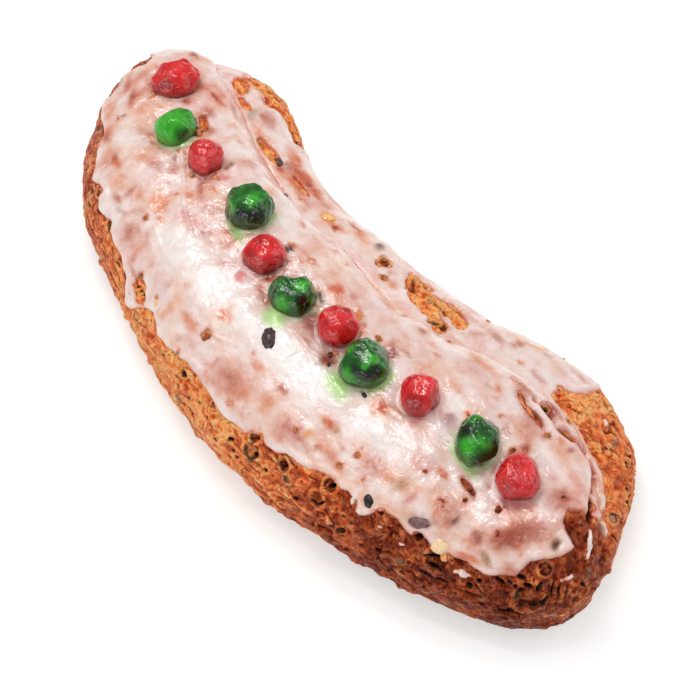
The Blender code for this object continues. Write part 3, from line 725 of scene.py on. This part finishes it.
# where the glaze is thick and white; on the front slope, round x -25 to 20, the whitening also stands in for the glare
# of the light on the wet glaze, a painted highlight: x, y, length, width, turn, share of the colour that it hides
WHITES = [
    (-120.5, -19.5, 16, 20, 0, 0.5), (-60.5, -37.5, 30, 12, 0, 0.45), (-25.5, -37.5, 60, 18, 0, 0.65),
    (19.5, -32.5, 48, 14, 6, 0.85), (59.5, -24.5, 34, 14, 0, 0.7), (71.5, 8.5, 12, 10, 0, 0.7),
    (85, -8, 30, 12, 20, 0.5), (111.5, 15.5, 30, 10, 0, 0.4), (-100, 27, 12, 6, -30, 0.4), (15, -8, 30, 6, 10, 0.3),
]
seen_depth = softened(depth, 10)
across_loaf = noise(skin * np.array([1.0, 0.42, 0.6]), 5.5, 51)
along_loaf = noise(skin * np.array([0.42, 1.0, 1.0]), 5.5, 52)
left_part = smoothstep(-skin[:, 0], -10, 60)
patches = across_loaf * left_part + along_loaf * (1 - left_part)
ends = smoothstep(-skin[:, 0], 85, 140) + smoothstep(skin[:, 0], 95, 125)
shade = np.log(0.28) + 0.5 * (1.4 - seen_depth) + 1.0 * patches + 0.5 * noise(skin, 21, 50)
shade += 0.35 * noise(skin, 3.6, 53)
shade = np.exp(np.clip(shade + 0.45 * ends, -3.5, 0.9))
for x, y, length, width, turn, share in WHITES:
    shade *= 1 - share * np.exp(-(spot((x, y), length, width, turn) ** 2))
shade += 1.1 * (1 - smoothstep(depth, 0.05, 0.5)) * (edge > 0)
shade *= 1 - 0.6 * drip
# a thin painted shadow line along the fold's crease
shade += 0.7 * np.exp(-((crease / 0.9) ** 2))
warm = smoothstep(noise(skin, 14, 57) + 0.5 * patches, -0.2, 0.6)
darkening = shade[:, None] * blend(np.tile(np.array(SHADES["base"]), (len(skin), 1)), SHADES["orange"], 0.8 * warm)
ragged_spot = 0.32 * noise(skin, 3.2, 54) + 0.12 * noise(skin, 1.6, 55)
for kind, x, y, length, width, turn, strength in STAINS:
    r = np.maximum(spot((x, y), length * 1.1, width * 1.1, turn) + ragged_spot, 0)
    darkening += strength * np.exp(-(r**2.6))[:, None] * np.array(SHADES[kind])
glaze_colour = GLAZE_WHITE * np.exp(-darkening)

SYRUP_GREEN = (0.42, 0.66, 0.24)
SYRUP_RED = (0.80, 0.22, 0.20)
clear = np.exp(-darkening[:, 1:2] * 0.7)
syrup = np.exp(-((np.maximum(cherry_gap - 0.3, 0) / 1.6) ** 1.6)) * (0.75 + 0.4 * noise(skin, 6, 56))
glaze_colour = blend(glaze_colour, SYRUP_GREEN * clear, np.clip(syrup * by_green, 0, 1) * 0.75)
glaze_colour = blend(glaze_colour, SYRUP_RED * clear, np.clip(syrup * ~by_green, 0, 1) * 0.6)
# syrup that has run out of a cherry: x, y, length, width, turn, and whether it is green
for x, y, length, width, turn, green in (
    (-103, -6, 7, 9, 0, True), (-45, -4, 6, 15, 0, True), (-48, -15, 13, 5, -10, True), (-3.5, -27.5, 12, 9.5, 0, True),
    (36.5, -25.5, 15, 9, -10, True), (46, -11, 6, 14, 0, True), (93, -6, 18, 4, 0, True), (-29, -26.5, 6, 5, -30, False),
    (67, -7, 5, 14, 10, False), (118, -1, 12, 5, 40, False), (-80, -10, 5, 5, 0, False), (-74, -2, 5, 5, 0, False),
):
    colour = np.array((0.40, 0.66, 0.17) if green else (0.80, 0.22, 0.21)) * clear
    glaze_colour = blend(glaze_colour, colour, 0.85 * np.exp(-(spot((x, y), length, width, turn) ** 5)))


# ---- materials --------------------------------------------------------------------------------------------
class Finish:
    """A material under construction, with its shader and a short way to add nodes."""

    def __init__(self, name, **constants):
        self.material = bpy.data.materials.new(name)
        self.material.use_nodes = True
        self.tree = self.material.node_tree
        self.shader = self.tree.nodes["Principled BSDF"]
        for key, value in constants.items():
            self.shader.inputs[key.replace("_", " ")].default_value = value

    def node(self, kind, settings=None, **inputs):
        made = self.tree.nodes.new("ShaderNode" + kind)
        for key, value in (settings or {}).items():
            setattr(made, key, value)
        for key, value in inputs.items():
            self.feed(made.inputs[key.replace("_", " ")], value)
        return made

    def feed(self, socket, value):
        if isinstance(value, bpy.types.NodeSocket):
            self.tree.links.new(value, socket)
        else:
            socket.default_value = value

    def attribute(self, name, output="Color"):
        return self.node("Attribute", {"attribute_name": name}).outputs[output]

    def noise(self, scale, detail=3.0, roughness=0.55, distortion=0.0):
        where = self.node("TexCoord").outputs["Object"]
        made = self.node("TexNoise", Vector=where, Scale=scale, Detail=detail, Roughness=roughness,
                         Distortion=distortion)
        return made.outputs["Fac"]

    def ranged(self, value, low, high):
        """The value from 0 to 1, spread between low and high."""
        made = self.node("MapRange", Value=value)
        made.inputs["From Min"].default_value = 0.3
        made.inputs["From Max"].default_value = 0.7
        made.inputs["To Min"].default_value = low
        made.inputs["To Max"].default_value = high
        return made.outputs["Result"]

    def deepened(self, colour, amount):
        """The colour, deeper where the amount is over 1 and paler where it is under 1."""
        return self.node("Gamma", Color=colour, Gamma=amount).outputs["Color"]

    def sum(self, a, b):
        made = self.node("Math", {"operation": "ADD"})
        self.feed(made.inputs[0], a)
        self.feed(made.inputs[1], b)
        return made.outputs["Value"]

    def seams(self, scale, width):
        """1 along the thin crooked seams where a noise passes its middle value, and 0 elsewhere."""
        centred = self.sum(self.noise(scale, 3, 0.6, 1.2), -0.5)
        away = self.node("Math", {"operation": "ABSOLUTE"})
        self.feed(away.inputs[0], centred)
        made = self.node("MapRange", {"interpolation_type": "SMOOTHSTEP"}, Value=away.outputs["Value"])
        made.inputs["From Min"].default_value = 0.0
        made.inputs["From Max"].default_value = width
        made.inputs["To Min"].default_value = 1.0
        made.inputs["To Max"].default_value = 0.0
        return made.outputs["Result"]

    def bump(self, height, distance, strength=1.0, normal=None):
        made = self.node("Bump", Height=height, Distance=distance, Strength=strength)
        if normal is not None:
            self.feed(made.inputs["Normal"], normal)
        return made.outputs["Normal"]


def crust_finish():
    finish = Finish("crust", IOR=1.45, Specular_IOR_Level=0.1, Coat_Roughness=0.08)
    grain = finish.noise(330, 6, 0.62, 0.8)
    seams = finish.seams(210, 0.022)
    # the colour is deepened along the sunk seams as well as by the grain: painted shade in the crevices
    deepened = finish.sum(finish.ranged(grain, 0.6, 1.4), seams)
    colour = finish.deepened(finish.attribute("tint"), deepened)
    finish.feed(finish.shader.inputs["Base Color"], colour)
    finish.feed(finish.shader.inputs["Roughness"], finish.ranged(finish.noise(400, 2), 0.34, 0.62))
    finish.feed(finish.shader.inputs["Coat Weight"], finish.ranged(finish.noise(260, 2), -0.6, 0.6))
    sunk = finish.bump(seams, -0.0008)
    coarse = finish.bump(grain, 0.0014, normal=sunk)
    finish.feed(finish.shader.inputs["Normal"], finish.bump(finish.noise(2200, 2), 0.0004, normal=coarse))
    finish.feed(finish.shader.inputs["Coat Normal"], coarse)
    return finish.material


def glaze_finish():
    finish = Finish("glaze", IOR=1.46, Coat_Weight=0.5, Coat_Roughness=0.05, Coat_IOR=1.5,
                    Subsurface_Weight=0.2, Subsurface_Scale=0.001)
    finish.shader.inputs["Subsurface Radius"].default_value = (1.0, 0.7, 0.6)
    cloud = finish.noise(300, 4, 0.6, 0.5)
    colour = finish.deepened(finish.attribute("tint"), finish.ranged(cloud, 0.8, 1.2))
    finish.feed(finish.shader.inputs["Base Color"], colour)
    finish.feed(finish.shader.inputs["Roughness"], finish.ranged(finish.noise(230, 2), 0.22, 0.38))
    fine = finish.bump(finish.noise(170, 3, 0.5, 0.4), 0.0009)
    finish.feed(finish.shader.inputs["Normal"], fine)
    finish.feed(finish.shader.inputs["Coat Normal"], fine)
    return finish.material


def cherry_finish(name, scatter):
    finish = Finish(name, IOR=1.47, Specular_IOR_Level=0.05, Coat_Weight=1.0, Coat_Roughness=0.015, Coat_IOR=1.52,
                    Subsurface_Weight=0.08, Subsurface_Scale=0.0012)
    finish.shader.inputs["Subsurface Radius"].default_value = scatter
    colour = finish.deepened(finish.attribute("tint"), finish.ranged(finish.noise(330, 3, 0.5), 0.88, 1.12))
    finish.feed(finish.shader.inputs["Base Color"], colour)
    finish.feed(finish.shader.inputs["Roughness"], finish.ranged(finish.noise(300, 2), 0.1, 0.22))
    fine = finish.bump(finish.noise(380, 2, 0.4, 0.8), 0.0004)
    finish.feed(finish.shader.inputs["Normal"], fine)
    finish.feed(finish.shader.inputs["Coat Normal"], fine)
    return finish.material


def bits_finish(name, roughness, coat):
    finish = Finish(name, IOR=1.46, Roughness=roughness, Specular_IOR_Level=0.3, Coat_Weight=coat,
                    Coat_Roughness=0.05)
    colour = finish.deepened(finish.attribute("tint"), finish.ranged(finish.noise(900, 3), 0.75, 1.3))
    finish.feed(finish.shader.inputs["Base Color"], colour)
    fine = finish.bump(finish.noise(900, 3, 0.6, 0.5), 0.0005)
    finish.feed(finish.shader.inputs["Normal"], fine)
    return finish.material


# ---- the crust --------------------------------------------------------------------------------------------
def kept_in_box(points):
    low = np.array(CAD_LOW) / MM + np.array([0.05, 0.05, 0.0])
    high = np.array(CAD_HIGH) / MM - 0.05
    return np.clip(points, low, high)


def make_crust():
    """The whole outside of the dough, coarser where the glaze hides it, with its flat base."""
    hidden = np.clip(smoothstep(depth, 0.9, 1.6), 0, 1)
    points = kept_in_box(skin + out * relief[:, None])
    points[:, 2] = np.where(points[:, 2] < 0.7, 0.0, points[:, 2])
    mesh = new_mesh("crust", points, quads)
    attach_colour(mesh, "tint", crust_colour)
    carrier = bpy.data.objects.new("carrier", mesh)
    bpy.context.scene.collection.objects.link(carrier)
    group = carrier.vertex_groups.new(name="hidden")
    for level in range(1, 11):
        members = np.flatnonzero(np.round(hidden * 10) == level)
        group.add(members.tolist(), level / 10, "REPLACE")
    modifier = carrier.modifiers.new("thin", "DECIMATE")
    modifier.ratio = 0.33
    modifier.vertex_group = "hidden"
    modifier.vertex_group_factor = 1000
    bpy.context.view_layer.update()
    graph = bpy.context.evaluated_depsgraph_get()
    thinned = bpy.data.meshes.new_from_object(carrier.evaluated_get(graph))
    bpy.data.objects.remove(carrier)
    work = bmesh.new()
    work.from_mesh(thinned)
    rim = [e for e in work.edges if e.is_boundary]
    bmesh.ops.holes_fill(work, edges=rim, sides=0)
    bmesh.ops.triangulate(work, faces=[face for face in work.faces if len(face.verts) > 4])
    bmesh.ops.recalc_face_normals(work, faces=work.faces[:])
    work.to_mesh(thinned)
    work.free()
    print("crust faces", len(thinned.polygons))
    return add_piece("crust", thinned, crust_finish(), "crust", "loaf")


# ---- the glaze --------------------------------------------------------------------------------------------
TUCK = 0.25
UNDERSIDE = 0.5


def triangles_of(mesh):
    flat = np.empty(len(mesh.loops), np.int32)
    mesh.loops.foreach_get("vertex_index", flat)
    return flat.reshape(-1, 3)


def values_of(mesh, name, field, width):
    flat = np.empty(len(mesh.vertices) * width, np.float32)
    mesh.attributes[name].data.foreach_get(field, flat)
    return flat.reshape(-1, width).astype(float)


def make_glaze():
    """A closed sheet: its top is the glaze's surface, and its underside lies just under the crust."""
    height = np.maximum(glaze_top, relief - TUCK)
    kept = quads[depth[quads].max(axis=1) > -TUCK]
    used, renumbered = np.unique(kept, return_inverse=True)
    faces = renumbered.reshape(-1, 4)
    mesh = new_mesh("glaze", kept_in_box(skin[used] + out[used] * height[used, None]), faces)
    attach_colour(mesh, "tint", glaze_colour[used])
    attach_colour(mesh, "downward", out[used] * (height[used] - relief[used] + UNDERSIDE)[:, None])
    thinned = with_modifiers(mesh, ("DECIMATE", {"ratio": 0.42, "use_collapse_triangulate": True}))
    top = points_of(thinned)
    under = top - values_of(thinned, "downward", "color", 4)[:, :3]
    upper = triangles_of(thinned)
    lower = upper[:, ::-1] + len(top)
    a, b = np.concatenate([upper[:, (0, 1)], upper[:, (1, 2)], upper[:, (2, 0)]]).T
    one_sided = ~np.isin(a * len(top) + b, b * len(top) + a)
    a, b = a[one_sided], b[one_sided]
    sides = np.stack([b, a, a + len(top), b + len(top)], axis=1)
    under[:, 2] = np.maximum(under[:, 2], 0.1)
    closed = new_mesh("glaze", np.concatenate([top, under]), upper.tolist() + lower.tolist() + sides.tolist())
    tint = values_of(thinned, "tint", "color", 4)[:, :3]
    attach_colour(closed, "tint", np.concatenate([tint, tint]))
    print("glaze faces", len(closed.polygons))
    return add_piece("glaze", closed, glaze_finish(), "glaze")


# ---- the cherries -----------------------------------------------------------------------------------------
# each fruit's plain tone, then a lighter and a darker copy, used for its mottling and for its painted light and shade
CHERRY_TONES = {
    "red": ((0.56, 0.008, 0.010), (0.74, 0.030, 0.030), (0.16, 0.001, 0.002)),
    "green": ((0.005, 0.085, 0.003), (0.035, 0.38, 0.012), (0.0006, 0.006, 0.0006)),
}
# marks on each cherry: light (painted light: the glow where light gathers in the fruit, and lit tops), dark (painted
# shade seen through the fruit), dent or lump, the direction it faces, its reach and its strength
MARKS = {
    "cherry_red_1": [
        ("dent", (-0.30, -0.71, 0.63), 0.35, 1.2), ("dent", (0.25, -0.80, 0.45), 0.35, 1.0),
        ("dark", (0.30, -0.80, 0.45), 0.40, 0.6), ("lump", (-0.09, -1.0, 0.10), 0.6, 1.0), ("light", (0.1, 0.1, 0.95), 0.6, 0.4),
    ],
    "cherry_green_1": [
        ("light", (0.20, -0.40, 0.90), 1.3, 0.9), ("dark", (0.88, -0.10, 0.47), 0.42, 0.8),
        ("light", (0.24, -0.87, 0.35), 0.5, 0.5),
    ],
    "cherry_red_2": [("dent", (0.14, -0.99, 0.04), 0.6, 0.9), ("dent", (0.99, 0.13, 0.04), 0.6, 0.9)],
    "cherry_green_2": [
        ("dark", (0.48, -0.68, 0.56), 0.42, 0.95), ("dark", (0.81, -0.24, 0.53), 0.40, 1.0),
        ("light", (0.31, 0.02, 0.95), 0.30, 0.9), ("light", (-0.16, -0.82, 0.55), 0.30, 0.6),
        ("dent", (-0.47, -0.27, 0.84), 0.5, 0.9),
    ],
    "cherry_red_3": [("dark", (0.14, -0.80, 0.50), 0.5, 0.4), ("dark", (0.95, 0.0, 0.30), 0.5, 0.35)],
    "cherry_green_3": [
        ("light", (0.26, 0.23, 0.94), 0.28, 1.0), ("dark", (0.77, -0.08, 0.64), 0.42, 1.0),
        ("dark", (0.97, 0.06, 0.20), 0.40, 0.9), ("dark", (0.09, -0.45, 0.89), 0.30, 0.7),
        ("light", (0.24, -0.87, 0.43), 0.40, 0.6), ("lump", (0.03, 0.73, 0.69), 0.4, 0.8),
    ],
    "cherry_red_4": [("dent", (-0.62, -0.03, 0.79), 0.35, 1.2)],
    "cherry_green_4": [
        ("dark", (0.60, -0.45, 0.66), 0.36, 1.0), ("dark", (0.31, -0.74, 0.60), 0.32, 1.0),
        ("dark", (0.78, -0.09, 0.62), 0.34, 1.0), ("light", (0.18, -0.95, 0.25), 0.35, 0.6),
        ("light", (0.43, -0.33, 0.84), 0.15, 0.8),
    ],
    "cherry_red_5": [("dark", (0.41, -0.69, 0.59), 0.5, 0.6), ("light", (0.0, 0.3, 0.95), 0.6, 0.5)],
    "cherry_green_5": [
        ("dark", (-0.41, -0.38, 0.83), 0.42, 1.0), ("dark", (0.79, 0.47, 0.40), 0.38, 0.9),
        ("dark", (0.84, -0.51, 0.19), 0.35, 0.8), ("dark", (0.95, -0.09, 0.30), 0.35, 0.7),
        ("light", (0.15, -0.68, 0.72), 0.42, 0.8), ("lump", (-0.45, 0.34, 0.83), 0.4, 0.8),
    ],
    "cherry_red_6": [("dark", (0.17, -0.76, 0.63), 0.4, 0.4), ("light", (0.32, 0.20, 0.93), 0.35, 0.8)],
}


def make_cherry(name, number, finish):
    """One candied cherry: flattened facets, slack folds and fine wrinkles over its CAD solid."""
    work = bmesh.new()
    work.from_mesh(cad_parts[name].data)
    bmesh.ops.remove_doubles(work, verts=work.verts[:], dist=0.01 * MM)
    plain = bpy.data.meshes.new(name)
    work.to_mesh(plain)
    work.free()
    mesh = with_modifiers(plain, ("SUBSURF", {"levels": 3, "render_levels": 3}))
    points = points_of(mesh)
    middle = points.mean(axis=0)
    own = np.random.default_rng(100 + number)
    for _ in range(9):
        way = own.normal(size=3)
        way /= np.linalg.norm(way)
        reach = (points - middle) @ way
        over = reach - reach.max() * own.uniform(0.80, 0.93)
        points = points - np.where(over > 0, over * 0.8, 0)[:, None] * way
    where = points + np.array([number * 40.0, 0, 0])
    set_points(mesh, relaxed(points, edges_of(mesh), 6))
    normal = normals_of(mesh)
    ways = points - middle
    ways /= np.linalg.norm(ways, axis=1, keepdims=True)
    slack = smoothstep(noise(where, 8, 60), -0.3, 0.5)
    fold = ridged(where, 4.2, 61)
    fine = ridged(where, 1.7, 62)
    height = 0.1 + 0.45 * noise(where, 7, 63) + slack * (0.45 * fold + 0.18 * fine)
    colour_name = "red" if "red" in name else "green"
    plain_tone, light_tone, dark_tone = CHERRY_TONES[colour_name]
    colours = np.tile(np.array(plain_tone), (len(points), 1))
    mottle = 0.7 * noise(where, 6, 64) + 0.25 * noise(where, 2.8, 65)
    # mottled tone, and lighter on the raised folds and darker in the low ones: partly painted light and shade
    colours = blend(colours, light_tone, 0.8 * smoothstep(mottle + 0.5 * height, 0.0, 0.8))
    colours = blend(colours, dark_tone, 0.6 * smoothstep(-mottle - 0.5 * height, -0.1, 0.7))
    # darker on the underside: painted shade
    colours = blend(colours, dark_tone, 0.7 * (1 - smoothstep(ways[:, 2], -0.15, 0.35)))
    for kind, way, reach, strength in MARKS[name]:
        away = np.linalg.norm(ways - np.array(way) / np.linalg.norm(way), axis=1) + 0.10 * noise(where, 3, 66)
        share = strength * np.exp(-(np.maximum(away / reach, 0) ** 4))
        if kind == "dent":
            height -= share
        elif kind == "lump":
            height += share
        else:
            colours = blend(colours, light_tone if kind == "light" else dark_tone, np.clip(share, 0, 1))
    points = points_of(mesh) + normal * height[:, None]
    set_points(mesh, kept_in_box(points))
    attach_colour(mesh, "tint", colours)
    return add_piece(name + "_candied", mesh, finish, colour_name + "_cherry", name)


# ---- raisins, peel and sugar ------------------------------------------------------------------------------
BIT_TONES = {
    "black": (0.012, 0.008, 0.008),
    "raisin": (0.055, 0.024, 0.024),
    "mauve": (0.19, 0.095, 0.09),
    "rust": (0.30, 0.07, 0.022),
    "burnt": (0.10, 0.04, 0.03),
    "orange": (0.85, 0.36, 0.12),
    "yellow": (0.90, 0.50, 0.14),
    "pale": (0.90, 0.62, 0.36),
    "coral": (0.85, 0.26, 0.16),
    "green": (0.20, 0.22, 0.05),
    "white": (0.88, 0.84, 0.82),
}
# each bit: tone, place (in plan or in 3-D), length, width, turn, height
RAISINS = [
    ("raisin", (2.4, -34.6, 51.0), 9.4, 6.4, -42, 2.3), ("black", (81.6, -43.8, 41.2), 6.2, 4.2, -37, 1.6),
    ("rust", (-16.9, -52.5, 44.8), 5.6, 3.4, 109, 1.2), ("mauve", (100.9, -33.2, 40.9), 8.8, 4.8, 40, 1.3),
    ("black", (-55.4, 14.0, 42.4), 3.0, 1.5, 60, 0.7),
    
    ("black", (23.2, -19.4), 2.8, 1.5, -30, 0.9), ("black", (26.8, -22.9), 2.6, 1.4, -50, 0.8),
    ("black", (46.2, -19.6), 3.0, 1.8, 0, 0.8),
    ("rust", (101.6, -10.6), 4.2, 2.6, 20, 0.9), ("rust", (104.2, -9.6), 3.4, 2.2, -30, 0.8),
    ("rust", (-109.2, 9.6), 4.0, 2.6, -20, 0.9), ("rust", (-101.8, 6.2), 3.4, 2.4, 50, 0.8),
    ("black", (-103.2, 1.6), 4.4, 2.6, -30, 0.9), ("black", (-105.4, 4.6), 2.4, 1.8, 20, 0.7),
    ("burnt", (-78.5, 28.6, 29.3), 6.0, 4.4, 0, 1.6), ("burnt", (-87.1, 44.7, 21.6), 4.8, 3.4, -30, 1.4),
    ("rust", (-153.4, 10.7, 38.3), 5.4, 3.4, 20, 1.4),
]
PEEL = [
    ("yellow", (-42.2, 28.3, 27.6), 5.4, 3.8, 45, 0.8), ("pale", (112, -32, 37.4), 7.0, 6.0, 30, 1.6),
    ("orange", (116.2, -33.0, 35.0), 4.4, 3.8, 0, 1.2), ("coral", (128.3, 58.1, 17.3), 2.2, 1.4, 50, 0.9),
    ("coral", (126.9, 58.6, 19.4), 1.4, 1.0, 0, 0.7), ("green", (146, 34.2, 16.1), 2.8, 1.0, 20, 1.0),
    ("yellow", (-46.4, -57.6), 2.2, 1.2, -37, 0.5), ("green", (-133.0, -14.8), 2.6, 0.9, 40, 0.4),
    ("orange", (158.2, -5.5, 17.6), 2.6, 2.2, 0, 0.8),
]

def sugar_crystals():
    """Grains of sugar that glitter on the glaze between the last two green cherries."""
    own = np.random.default_rng(77)
    grains = []
    for x, y, spread, count in ((99, -16, 10, 40), (42, -24, 6, 16), (112, -24, 8, 14), (90, 4, 8, 8)):
        for _ in range(count):
            across = own.uniform(0.5, 0.9)
            place = (x + own.normal() * spread / 2, y + own.normal() * spread / 1.4)
            grains.append(("white", place, across, across * 0.8, own.uniform(0, 180), 0.45))
    return grains


def make_bits(name, rows, finish, slot):
    """All the bits of one kind as one piece: each an uneven pebble, half sunk in the surface."""
    surface = skin + out * np.maximum(glaze_top, relief)[:, None]
    points, faces, tints = [], [], []
    for number, (tone_name, place, length, width, turn, height) in enumerate(rows):
        reach = spot(place, length, width, turn)
        nearest = int(np.argmin(reach))
        normal = out[nearest]
        along = np.array([math.cos(math.radians(turn)), math.sin(math.radians(turn)), 0.0])
        along -= normal * (along @ normal)
        along /= np.linalg.norm(along)
        across = np.cross(normal, along)
        work = bmesh.new()
        bmesh.ops.create_icosphere(work, subdivisions=3 if length > 1 else 1, radius=1.0)
        ball = np.array([tuple(vert.co) for vert in work.verts])
        first = sum(map(len, points))
        faces += [[first + vert.index for vert in face.verts] for face in work.faces]
        work.free()
        where = ball * np.array([length, width, height]) / 2 + np.array([0, number * 30.0, 0])
        uneven = 1 + 0.22 * noise(where, max(length / 2.5, 0.6), 70) + 0.10 * ridged(where, 1.3, 71)
        local = ball * uneven[:, None] * np.array([length / 2, width / 2, height])
        points.append(surface[nearest] + local[:, :1] * along + local[:, 1:2] * across
                      + (local[:, 2:] - 0.45 * height) * normal)
        # each bit darker towards its base and lighter on top, with some noise: painted shade
        darker = smoothstep(0.5 * noise(where, 1.6, 72) - 0.8 * ball[:, 2], -0.6, 0.8)
        tone_colour = np.array(BIT_TONES[tone_name])
        tints.append(blend(np.tile(tone_colour, (len(ball), 1)), tone_colour * 0.35, darker))
    mesh = new_mesh(name, kept_in_box(np.concatenate(points)), faces)
    attach_colour(mesh, "tint", np.concatenate(tints))
    return add_piece(name, mesh, finish, slot)


make_crust()
make_glaze()
make_bits("raisins", RAISINS, bits_finish("raisin", 0.4, 0.35), "raisin")
make_bits("peel", PEEL, bits_finish("peel", 0.3, 0.6), "peel")
make_bits("sugar", sugar_crystals(), bits_finish("sugar", 0.25, 0.6), "glaze")
FINISHES = {
    "red": cherry_finish("red_cherry", (1.0, 0.12, 0.1)),
    "green": cherry_finish("green_cherry", (0.25, 1.0, 0.2)),
}
for number, name in enumerate(CHERRY_NODES):
    make_cherry(name, number, FINISHES["red" if "red" in name else "green"])

# ---- stage, lights and camera -----------------------------------------------------------------------------
VIEW_AZIMUTH = math.radians(52.8)
VIEW_ELEVATION = math.radians(60)
VIEW_DISTANCE = 0.9
AIM = Vector((0.01403, -0.00229, 0.025))
LENS = 110.2


def add_camera():
    right = Vector((math.cos(VIEW_AZIMUTH), math.sin(VIEW_AZIMUTH), 0))
    back = Vector((math.sin(VIEW_AZIMUTH) * math.cos(VIEW_ELEVATION),
                   -math.cos(VIEW_AZIMUTH) * math.cos(VIEW_ELEVATION), math.sin(VIEW_ELEVATION)))
    up = back.cross(right)
    data = bpy.data.cameras.new("camera")
    data.lens = LENS
    data.sensor_width = 36
    data.clip_end = 20
    camera = bpy.data.objects.new("camera", data)
    turn = Matrix((right, up, back)).transposed().to_4x4()
    camera.matrix_world = Matrix.Translation(AIM + back * VIEW_DISTANCE) @ turn
    bpy.context.scene.collection.objects.link(camera)
    bpy.context.scene.camera = camera


def add_light(name, way, distance, wide, high, radiance, twist=0.0):
    """A rectangular soft light that faces the loaf. Radiance is its brightness, whatever its size."""
    data = bpy.data.lights.new(name, "AREA")
    data.shape = "RECTANGLE"
    data.size = wide
    data.size_y = high
    data.energy = radiance * math.pi * wide * high
    light = bpy.data.objects.new(name, data)
    place = Vector(way).normalized() * distance
    turn = place.to_track_quat("Z", "Y").to_matrix().to_4x4()
    light.matrix_world = Matrix.Translation(place) @ turn @ Matrix.Rotation(math.radians(twist), 4, "Z")
    bpy.context.scene.collection.objects.link(light)


def add_stage():
    """A pale table that glows a little, so that the loaf's shadow stays faint."""
    finish = Finish("table", Roughness=0.6, Emission_Strength=0.50)
    finish.shader.inputs["Base Color"].default_value = (0.56, 0.56, 0.55, 1)
    finish.shader.inputs["Emission Color"].default_value = (1.0, 1.0, 0.99, 1)
    finish.shader.inputs["Specular IOR Level"].default_value = 0.0
    side = 3000
    corners = [(-side, -side, 0), (side, -side, 0), (side, side, 0), (-side, side, 0)]
    mesh = new_mesh("table", corners, [(0, 1, 2, 3)])
    mesh.materials.append(finish.material)
    table = bpy.data.objects.new("table", mesh)
    bpy.context.scene.collection.objects.link(table)


def add_world():
    world = bpy.data.worlds.new("studio")
    world.use_nodes = True
    world.node_tree.nodes["Background"].inputs["Color"].default_value = (1, 1, 1, 1)
    world.node_tree.nodes["Background"].inputs["Strength"].default_value = 0.42
    bpy.context.scene.world = world


add_camera()
add_light("softbox", (-0.33, -0.08, 0.94), 1.3, 1.0, 1.0, 1.55)
add_light("window", (0.35, 0.72, 0.62), 1.4, 1.3, 0.9, 1.4)
add_light("fill", (0.35, -0.9, 0.35), 1.3, 1.2, 0.5, 2.3)
add_light("strip_left", (-0.50, 0.14, 0.90), 1.0, 0.08, 0.40, 15.5, 40)
add_light("strip_right", (-0.16, 0.02, 0.98), 1.0, 0.08, 0.40, 15.5, 40)
add_stage()
add_world()
bpy.context.scene.view_settings.view_transform = "Standard"
bpy.context.scene.view_settings.look = "None"

bpy.context.view_layer.update()
